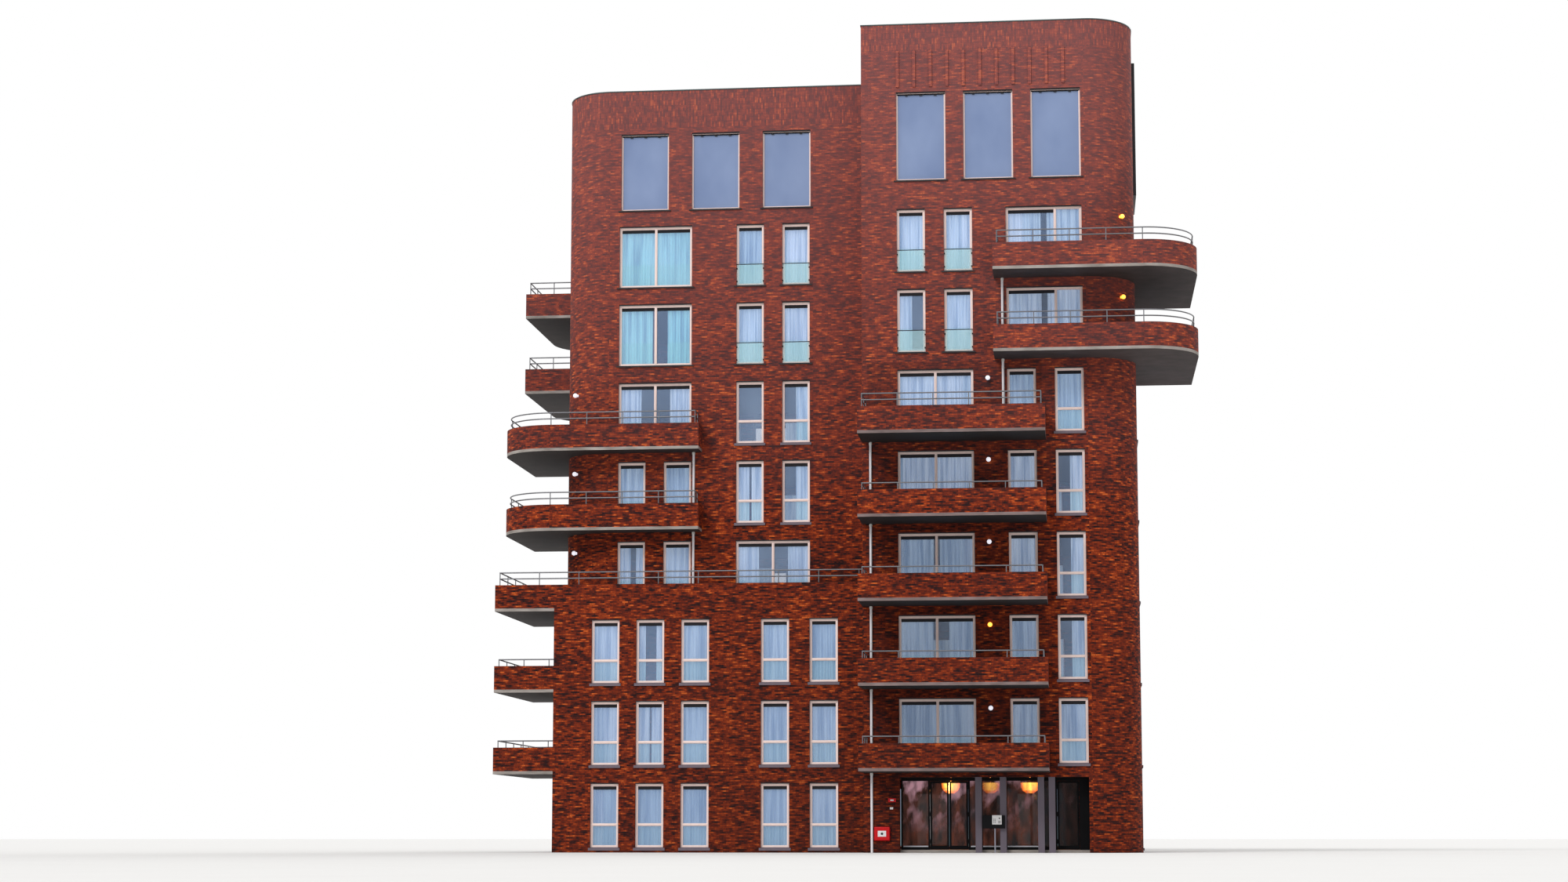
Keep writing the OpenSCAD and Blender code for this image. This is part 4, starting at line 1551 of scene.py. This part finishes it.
def rear() -> WindowWall:
    """Lays out the rear windows.

    Returns:
        The wall with them.
    """
    dice = random.Random(16)
    edge, count = 1.0, 5
    pitch = (2 * BEND_X - 2 * edge - WIDE) / (count - 1)
    drapes = (Drape.FULL, Drape.FULL, Drape.PAIR, Drape.LEFT, Drape.RIGHT)
    middle_kinds = [Kind.TRANSOM] * 6 + [Kind.GUARD] * 2 + [Kind.TALL]
    rows = []
    for level, middle_kind in enumerate(middle_kinds):
        made = []
        for i in range(count):
            width, kind = (SINGLE, middle_kind) if i == 2 else (WIDE, Kind.DOUBLE)
            made.append(Bay(edge + i * pitch, width, kind, dice.choice(drapes)))
        rows.append(storey(level, made) if level < 8 else Row(24.14, 27.11, tuple(made)))
    return WindowWall(Wall("rear", (BEND_X, REAR_FACE), (-1, 0), (0, -1)), rows, seed=17)


@dataclass
class RailFeet:
    """Base plates with bolts under the rail posts of the square and the wrapped balconies."""

    parapet: float = 0.83
    clear: float = 0.20
    gap: float = 1.5
    square_x: Plan = (0.90, 7.28)
    square_front: float = -7.875
    tower_x: float = 5.75
    tower_front: float = -7.175
    tower_rear: float = 0.675
    wing_x: float = -5.55
    wing_front: float = -4.675
    wing_rear: float = 2.375
    side: float = 12.83
    plate: Tuple[Plan, ...] = ((0.046, 0.0), (0.046, 0.006), (0.030, 0.010), (0.024, 0.018))
    bolt: Tuple[Plan, ...] = ((0.007, 0.0), (0.007, 0.009), (0.004, 0.012))
    bolt_out: float = 0.035
    bolt_up: float = 0.004

    def _posts(self, a: Plan, b: Plan) -> List[Plan]:
        """Returns the posts' places on a straight rail."""
        n = math.ceil(math.dist(a, b) / self.gap)
        return [(a[0] + (b[0] - a[0]) * i / n, a[1] + (b[1] - a[1]) * i / n) for i in range(n + 1)]

    def _path(self, *corners: Plan) -> List[Plan]:
        """Returns the posts' places on straight rails that meet at corners."""
        return [post for a, b in zip(corners, corners[1:]) for post in self._posts(a, b)]

    def _runs(self) -> List[Tuple[Sequence[int], List[Plan]]]:
        """Follows the rails of each type of balcony.

        Returns:
            Each type's storeys and posts.
        """
        left, right = self.square_x
        wall, front = TOWER_FACE - self.clear, self.square_front
        square = self._path((left, wall), (left, front), (right, front), (right, wall))
        x, front, back, side = self.tower_x, self.tower_front, self.tower_rear, self.side
        tower = self._path((x, wall), (x, front), (RIGHT_TURN[0], front))
        tower += self._path((side, RIGHT_TURN[1]), (side, back), (SIDE_FACE + self.clear, back))
        x, front, back, side = self.wing_x, self.wing_front, self.wing_rear, -self.side
        wing = self._path((x, WING_FACE - self.clear), (x, front), (LEFT_TURN[0], front))
        wing += self._path((side, LEFT_TURN[1]), (side, back), (-SIDE_FACE - self.clear, back))
        return [(range(1, 6), square), (range(6, 8), tower), (range(4, 6), wing)]

    def build(self, finishes: Finishes) -> None:
        """Builds the plates.

        Args:
            finishes: The shared materials.
        """
        maker = Maker()
        for levels, posts in self._runs():
            places = dict.fromkeys((round(x, 4), round(y, 4)) for x, y in posts)
            for level in levels:
                z = STOREY * level + self.parapet
                for x, y in places:
                    maker.turned((x, y, z), self.plate, sides=12)
                    for side in (-1, 1):
                        maker.turned((x + side * self.bolt_out, y, z + self.bolt_up), self.bolt, sides=6)
        maker.piece("rail_feet", "rail_steel", finishes.steel)


@dataclass
class PipeClips:
    """Clips that hold the downpipes to the walls, and their sockets under the slabs."""

    radius: float = 0.045
    ring_t: float = 0.007
    ring_z: Plan = (-0.014, 0.014)
    arm: float = 0.012
    tower_y: float = -5.74
    wing_y: float = -3.89
    heights: Point = (0.5, 1.5, 2.5)
    socket_z: float = 2.75
    socket: Tuple[Plan, ...] = ((0.0, 0.0), (0.012, 0.010), (0.012, 0.085), (0.0, 0.095))

    def build(self, finishes: Finishes) -> None:
        """Builds the clips.

        Args:
            finishes: The shared materials.
        """
        maker = Maker()
        r, arm = self.radius, self.arm
        clip = oblong((r, r + self.ring_t), self.ring_z)
        socket = [(r + out, up) for out, up in self.socket]
        for x, y, wall_y, levels in (
            (1.055, self.tower_y, TOWER_FACE, range(0, 5)),
            (5.905, self.tower_y, TOWER_FACE, range(5, 7)),
            (-5.705, self.wing_y, WING_FACE, range(3, 5)),
        ):
            for level in levels:
                base = STOREY * level
                for height in self.heights:
                    z = base + height
                    maker.turned((x, y, z), clip, sides=24)
                    maker.block((x - arm, y + r, z - arm), (x + arm, wall_y + 0.004, z + arm), 0.002)
                maker.turned((x, y, base + self.socket_z), socket, sides=24)
        maker.piece("pipe_clips", "pipe_plastic", finishes.plastic)


@dataclass
class EntranceFittings:
    """The small things at the entrance: sill strips, the call board's face, a red box and plates."""

    glazing_y: float = -4.775
    left: float = 2.05
    lights: Tuple[Plan, ...] = ((0.06, 0.98), (2.50, 2.71), (2.94, 3.59), (3.82, 4.94))
    strip_z: Plan = (0.200, 0.246)
    board: Point = (5.36, -5.797, 1.00)
    board_w: float = 0.34
    board_h: float = 0.33
    buttons: Tuple[int, int] = (4, 2)
    first_button: Plan = (0.045, 0.06)
    button_step: Plan = (0.05, 0.04)
    button_w: float = 0.03
    button_h: float = 0.018
    grille_bars: int = 6
    grille_x: Plan = (0.215, 0.31)
    grille_z: float = 0.045
    grille_step: float = 0.016
    grille_bar: float = 0.007
    lens_place: Plan = (0.262, 0.22)
    lens: Tuple[Plan, ...] = ((0.026, 0.0), (0.026, -0.006), (0.014, -0.014), (0.005, -0.016))
    box: Point = (1.14, TOWER_FACE, 0.43)
    box_w: float = 0.56
    box_h: float = 0.49
    box_form: Tuple[Plan, ...] = ((0.0, 0.0), (0.0, -0.10), (0.012, -0.118), (0.03, -0.125))
    box_label_x: Plan = (0.13, 0.43)
    box_label_z: Plan = (0.14, 0.35)
    box_lock: Plan = (0.28, 0.245)
    red_plate: Tuple[Plan, Plan] = ((1.64, 1.92), (1.80, 1.94))
    red_plate_label: Tuple[Plan, Plan] = ((1.72, 1.84), (1.845, 1.895))
    white_plate: Tuple[Plan, Plan] = ((1.70, 1.82), (1.54, 1.62))
    hinge_heights: Plan = (0.10, 0.35)
    hinge: Tuple[Plan, ...] = ((0.009, 0.0), (0.009, 0.06))
    lock: Tuple[Plan, ...] = ((0.045, 0.0), (0.045, -0.005), (0.030, -0.009))

    def _strips(self, finishes: Finishes) -> None:
        """Adds light strips on the bottom bars of the fixed glazing.

        Args:
            finishes: The shared materials.
        """
        maker = Maker()
        y = self.glazing_y
        low, high = self.strip_z
        for a, b in self.lights:
            start, end = narrowed((self.left + a, self.left + b), 0.01)
            maker.block((start, y - 0.03, low), (end, y + 0.01, high), 0.004)
        maker.piece("entrance_sill_strips", "vent_metal", finishes.aluminium)

    def _call_board(self, finishes: Finishes) -> None:
        """Adds the call board's pale panel, its buttons, its grille and its lens.

        Args:
            finishes: The shared materials.
        """
        x, y, z = self.board
        panel = Maker()
        panel.block((x, y - 0.004, z), (x + self.board_w, y + 0.004, z + self.board_h), 0.003)
        panel.piece("call_panel", "notice_paint", finishes.label)
        fittings = Maker()
        rows, columns = self.buttons
        for row in range(rows):
            low = z + self.first_button[1] + row * self.button_step[1]
            for column in range(columns):
                left = x + self.first_button[0] + column * self.button_step[0]
                far = (left + self.button_w, y - 0.002, low + self.button_h)
                fittings.block((left, y - 0.011, low), far, 0.002)
        left, right = moved(self.grille_x, x)
        for bar in range(self.grille_bars):
            low = z + self.grille_z + bar * self.grille_step
            fittings.block((left, y - 0.008, low), (right, y - 0.002, low + self.grille_bar), 0.001)
        lens_x, lens_z = self.lens_place
        fittings.turned((x + lens_x, y - 0.002, z + lens_z), self.lens, axis=1, sides=20)
        fittings.piece("call_buttons", "call_board", finishes.black)

    def _red_box(self, finishes: Finishes) -> None:
        """Adds a red wall box with a bare label and a lock, and two bare plates above it.

        Args:
            finishes: The shared materials.
        """
        x, y, z = self.box
        s, heights = (x, x + self.box_w), (z, z + self.box_h)
        box = Maker()
        points: List[Point] = []
        for inset, d in self.box_form:
            points += rectangle(narrowed(s, inset), narrowed(heights, inset), y + d)
        box.add(points, tube(len(self.box_form), 4))
        for height in moved(self.hinge_heights, z):
            box.turned((s[1] + 0.006, y - 0.05, height), self.hinge, sides=12)
        self._plate(box, self.red_plate, (y - 0.014, y + 0.002), 0.004)
        box.piece("red_wall_box", "notice_paint", finishes.red)
        label = Maker()
        box_label = (moved(self.box_label_x, x), moved(self.box_label_z, z))
        self._plate(label, box_label, (y - 0.129, y - 0.124), 0.002)
        self._plate(label, self.red_plate_label, (y - 0.020, y - 0.010), 0.002)
        self._plate(label, self.white_plate, (y - 0.010, y + 0.002), 0.004)
        label.piece("bare_plates", "notice_paint", finishes.label)
        lock = Maker()
        lock.turned((x + self.box_lock[0], y - 0.128, z + self.box_lock[1]), self.lock, axis=1, sides=20)
        lock.piece("box_lock", "vent_metal", finishes.black)

    @staticmethod
    def _plate(maker: Maker, span: Tuple[Plan, Plan], y: Plan, chamfer: float) -> None:
        """Adds a plate from its two spans in X and Z and one in Y."""
        x, z = span
        maker.block((x[0], y[0], z[0]), (x[1], y[1], z[1]), chamfer)

    def build(self, finishes: Finishes) -> None:
        """Builds the entrance's fittings.

        Args:
            finishes: The shared materials.
        """
        self._strips(finishes)
        self._call_board(finishes)
        self._red_box(finishes)


@dataclass
class SideScreen:
    """The slender surround that stands out round the tower's top side window."""

    wall: Wall = Wall("right", (SIDE_FACE, TOWER_BEND), (0, 1), (-1, 0))
    s: Plan = (0.46, 3.71)
    z: Plan = (24.36, 29.43)
    width: float = 0.22
    out: float = 0.125
    into: float = 0.01
    bevel_w: float = 0.008
    bevel_d: float = 0.010

    def build(self, finishes: Finishes) -> None:
        """Builds the surround.

        Args:
            finishes: The shared materials.
        """
        width, out = self.width, self.out
        profile = [
            (0.0, self.into),
            (0.0, self.bevel_d - out),
            (self.bevel_w, -out),
            (width - self.bevel_w, -out),
            (width, self.bevel_d - out),
            (width, self.into),
        ]
        maker = Maker(self.wall)
        maker.ring(self.s, self.z, profile)
        maker.piece("top_side_surround", "vent_metal", finishes.vent)


def wall_lamp_lit(x: Wire, z: Wire, right: float = 8.0, height: float = 8.15) -> Wire:
    """Returns 1 at the wall lamps that are lit: those at the far right, and the tower's at a height."""
    return (x > right).larger((abs(z - height) < 0.6) * (x > 0.0))


def bowl_lit(x: Wire, z: Wire, opal_top: float = 2.56, middle: float = 5.21, less: float = 0.75) -> Wire:
    """Returns how lit a bowl lamp is: only its opal part is, and the middle lamp's is less so."""
    return (z < opal_top) * (1.0 - (abs(x - middle) < 0.5) * less)


def brick_groups() -> List[Tuple[Finish, Sequence[str]]]:
    """Pairs the brickwork with the nodes that it covers.

    Returns:
        A finish and its nodes' names for each kind.
    """
    corners = (
        Arc((BEND_X, TOWER_BEND), (1, -1), CORNER_R),
        Arc((-BEND_X, WING_BEND), (-1, -1), CORNER_R),
        Arc((BEND_X, REAR_BEND), (1, 1), CORNER_R),
        Arc((-BEND_X, REAR_BEND), (-1, 1), CORNER_R),
    )
    right = (Arc(RIGHT_TURN, (1, -1), TURN_R),)
    left = (Arc(LEFT_TURN, (-1, -1), TURN_R),)
    back = (Arc(REAR_TURN, (-1, 1), TURN_R),)
    plain = ("tower_piers", "tower_spandrels", "wing_piers", "wing_spandrels", "base_piers",
             "rear_piers", "rear_spandrels", "base_corner", "tower_left_wall")
    return [
        (Brickwork("wall_brick"), plain),
        (Brickwork("rib_brick", side_shade=0.35, lift=0.48), ("brick_ribs",)),
        (Brickwork("base_brick", legs=(-4.515, 90.0)), ("base_spandrels",)),
        (Brickwork("corner_brick", corners), ("round_corners",)),
        (Brickwork("front_parapet_brick", legs=(-7.795, 0.0)), ("front_balcony_parapets",)),
        (Brickwork("right_parapet_brick", right, (-7.095, 0.595)), ("right_balcony_parapets",)),
        (Brickwork("left_parapet_brick", left, (-4.595, 2.295)), ("left_balcony_parapets",)),
        (Brickwork("side_parapet_brick", legs=(-4.645, 2.295)), ("side_balcony_parapets",)),
        (Brickwork("rear_parapet_brick", back, (0.455, 7.795)), ("rear_balcony_parapets",)),
    ]


def other_groups() -> List[Tuple[Finish, Sequence[str]]]:
    """Pairs the finishes other than brick with the nodes that they cover.

    Returns:
        A finish and its nodes' names for each kind.
    """
    places = ("front", "right", "left", "side", "rear")
    rails = [f"{place}_balcony_rails" for place in places]
    left_slabs = [f"{place}_balcony_slabs" for place in ("left", "side", "rear")]
    near_black = tone(14, 14, 17)
    bowl = Globe("bowl_glass", 70.0, bowl_lit, rim=tone(190, 80, 16), unlit_glow=tone(16, 10, 6))
    return [
        (Concrete("floor_concrete"), ("tower_floors", "wing_floors")),
        # Painted shade: the front balconies' edges are darker and their soffits nearly black
        (Concrete("front_concrete", tone(136, 118, 116), tone(22, 16, 15)), ("front_balcony_slabs",)),
        (Concrete("balcony_concrete"), ("right_balcony_slabs",)),
        # Painted shade: the soffits of the left, side and rear balconies are darker
        (Concrete("left_concrete", soffit=tone(44, 33, 31)), left_slabs),
        (Gravel("roof_gravel"), ("tower_roof", "wing_roof")),
        (Coat("roof_edge_metal", tone(70, 82, 82), 0.4, 0.6), ("roof_trim",)),
        (Coat("galvanised_steel", tone(118, 118, 122), 0.42, 0.7), rails),
        (Coat("pipe_white", tone(226, 222, 226), 0.5), ("downpipes",)),
        (Globe("wall_globe", 2.2, wall_lamp_lit, unlit_glow=tone(146, 146, 156)), ("wall_lamps",)),
        (bowl, ("ceiling_lamps",)),
        (Coat("post_grey", tone(98, 88, 100), 0.5), ("entrance_posts",)),
        (Coat("entrance_dark_metal", near_black, 0.6, gloss=0.12),
         ("entrance_frame", "left_leaf", "right_leaf", "side_door")),
        (Coat("stand_metal", near_black, 0.6, gloss=0.12, stem=tone(150, 150, 162)), ("intercom_stand",)),
        (Streaked("entrance_glass_reflection"),
         ("entrance_glass", "left_leaf_glass", "right_leaf_glass", "side_door_glass")),
    ]


def finish_nodes() -> None:
    """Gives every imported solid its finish."""
    for finish, names in brick_groups() + other_groups():
        made = finish.material()
        for name in names:
            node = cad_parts[name]
            if not node.material_slots:
                node.data.materials.append(made)
            for slot in node.material_slots:
                slot.material = made
        log.info("%s on %d nodes", made.name, len(names))


def shared_finishes() -> Finishes:
    """Makes the finishes of the scene's own pieces.

    Returns:
        Their materials.
    """
    white = (tone(200, 220, 236), tone(222, 234, 248), tone(180, 206, 226))
    teal = (tone(154, 216, 226), tone(172, 226, 232), tone(144, 208, 218))
    stone_grain = (9.0, 9.0, 9.0)
    return Finishes(
        window_frame=Coat("window_frame_beige", tone(246, 222, 215), 0.42).material(),
        pane=Pane("window_glass", tone(142, 170, 214), tone(166, 194, 232), 0.27).material(),
        # Painted reflection: the tall windows' glass carries the colour of the sky
        sky_pane=Pane("sky_reflection_glass", tone(118, 140, 184), tone(136, 156, 196), 0.86).material(),
        guard=Pane("guard_glass", tone(184, 236, 240), tone(206, 244, 246), 0.24).material(),
        vent=Coat("vent_dark_metal", tone(36, 34, 38), 0.45, 0.4).material(),
        stone=Coat("sill_stone", tone(104, 92, 102), 0.6, dirt=0.3, grain=stone_grain).material(),
        white_cloth=Cloth("white_curtain", white).material(),
        teal_cloth=Cloth("teal_curtain", teal).material(),
        steel=Coat("plate_steel", tone(126, 126, 130), 0.42, 0.7).material(),
        # The strips' near-white colour is partly the metal's own and partly a painted reflection of the sky
        aluminium=Coat("strip_aluminium", tone(236, 236, 246), 0.45).material(),
        black=Coat("fitting_black", tone(26, 26, 28), 0.4).material(),
        red=Coat("box_red", tone(198, 6, 18), 0.35, dirt=0.1, gloss=0.25).material(),
        label=Coat("plate_white", tone(228, 226, 226), 0.45, dirt=0.1).material(),
        plastic=Coat("clip_white", tone(216, 214, 210), 0.5).material(),
    )


def lay_floor(reach: float = 3000.0, below: float = 0.002) -> None:
    """Lays the pale floor.

    Args:
        reach: How far it runs each way.
        below: How far it lies under the block's foot.
    """
    mesh = bpy.data.meshes.new("floor")
    corners = [(x * reach, y * reach, -below) for x, y in ((-1, -1), (1, -1), (1, 1), (-1, 1))]
    mesh.from_pydata(corners, [], [(0, 1, 2, 3)])
    floor = bpy.data.objects.new("floor", mesh)
    bpy.context.scene.collection.objects.link(floor)
    paint = Paint("floor_pale")
    grain = paint.noise(paint.place(), 0.4, 3.0)
    colour = paint.ramp(grain, ((0.3, tone(236, 235, 233)), (0.7, tone(238, 237, 235))))
    mesh.materials.append(paint.finish({"Base Color": colour, "Roughness": 0.95}))


def set_surroundings(lighting: float = 0.62, seen: float = 1.0) -> None:
    """Sets the pale surroundings.

    Args:
        lighting: How bright they are as a light.
        seen: How bright they are where they show, in glass and mirrors too.
    """
    world = bpy.data.worlds.new("surroundings")
    world.use_nodes = True
    bpy.context.scene.world = world
    tree = world.node_tree
    rays = tree.nodes.new("ShaderNodeLightPath")
    shown = rays.outputs["Is Camera Ray"]
    for name in ("Is Glossy Ray", "Is Transmission Ray"):
        either = tree.nodes.new("ShaderNodeMath")
        either.operation = "MAXIMUM"
        tree.links.new(shown, either.inputs[0])
        tree.links.new(rays.outputs[name], either.inputs[1])
        shown = either.outputs[0]
    level = tree.nodes.new("ShaderNodeMapRange")
    level.inputs["To Min"].default_value = lighting
    level.inputs["To Max"].default_value = seen
    tree.links.new(shown, level.inputs["Value"])
    background = tree.nodes["Background"]
    background.inputs["Color"].default_value = WHITE
    tree.links.new(level.outputs[0], background.inputs["Strength"])


def set_lights() -> None:
    """Hangs a soft sun before the block and a weaker one behind it."""
    for name, turn, strength, spread in (
        ("front_light", (52, 0, -28), 1.5, 24.0),
        ("rear_light", (58, 0, 150), 0.7, 40.0),
    ):
        lamp = bpy.data.lights.new(name, "SUN")
        lamp.energy = strength
        lamp.angle = math.radians(spread)
        light = bpy.data.objects.new(name, lamp)
        light.rotation_euler = [math.radians(angle) for angle in turn]
        bpy.context.scene.collection.objects.link(light)


def set_camera(place: Point = (8.318, -104.0, 0.5), tilt: float = 97.0, turn: float = 6.059,
               focal: float = 62.629, rise: float = 0.04, reach: float = 9000.0) -> None:
    """Stands the camera where the photograph was taken from.

    Args:
        place: Where it stands.
        tilt: How many degrees it is tilted from looking straight down.
        turn: How many degrees it is turned to the left.
        focal: Its focal length in millimetres, for a frame 36 mm wide.
        rise: How far its lens is shifted up, as a share of the frame's width.
        reach: How far it sees.
    """
    lens = bpy.data.cameras.new("camera")
    lens.sensor_width = 36.0
    lens.lens = focal
    lens.shift_y = rise
    lens.clip_end = reach
    camera = bpy.data.objects.new("camera", lens)
    aim = Matrix.Rotation(math.radians(turn), 4, "Z") @ Matrix.Rotation(math.radians(tilt), 4, "X")
    camera.matrix_world = Matrix.Translation(place) @ aim
    bpy.context.scene.collection.objects.link(camera)
    bpy.context.scene.camera = camera


def main() -> None:
    """Builds and dresses the block, then sets the scene round it."""
    logging.basicConfig(level=logging.INFO, format="%(name)s %(message)s")
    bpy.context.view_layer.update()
    finish_nodes()
    finishes = shared_finishes()
    for make in (tower_front, wing_front, base_front, right_side, left_side, rear):
        wall = make()
        wall.build()
        wall.dress(finishes)
    RailFeet().build(finishes)
    PipeClips().build(finishes)
    EntranceFittings().build(finishes)
    SideScreen().build(finishes)
    lay_floor()
    set_surroundings()
    set_lights()
    set_camera()
    bpy.context.scene.view_settings.view_transform = "Standard"


if __name__ == "__main__":
    main()
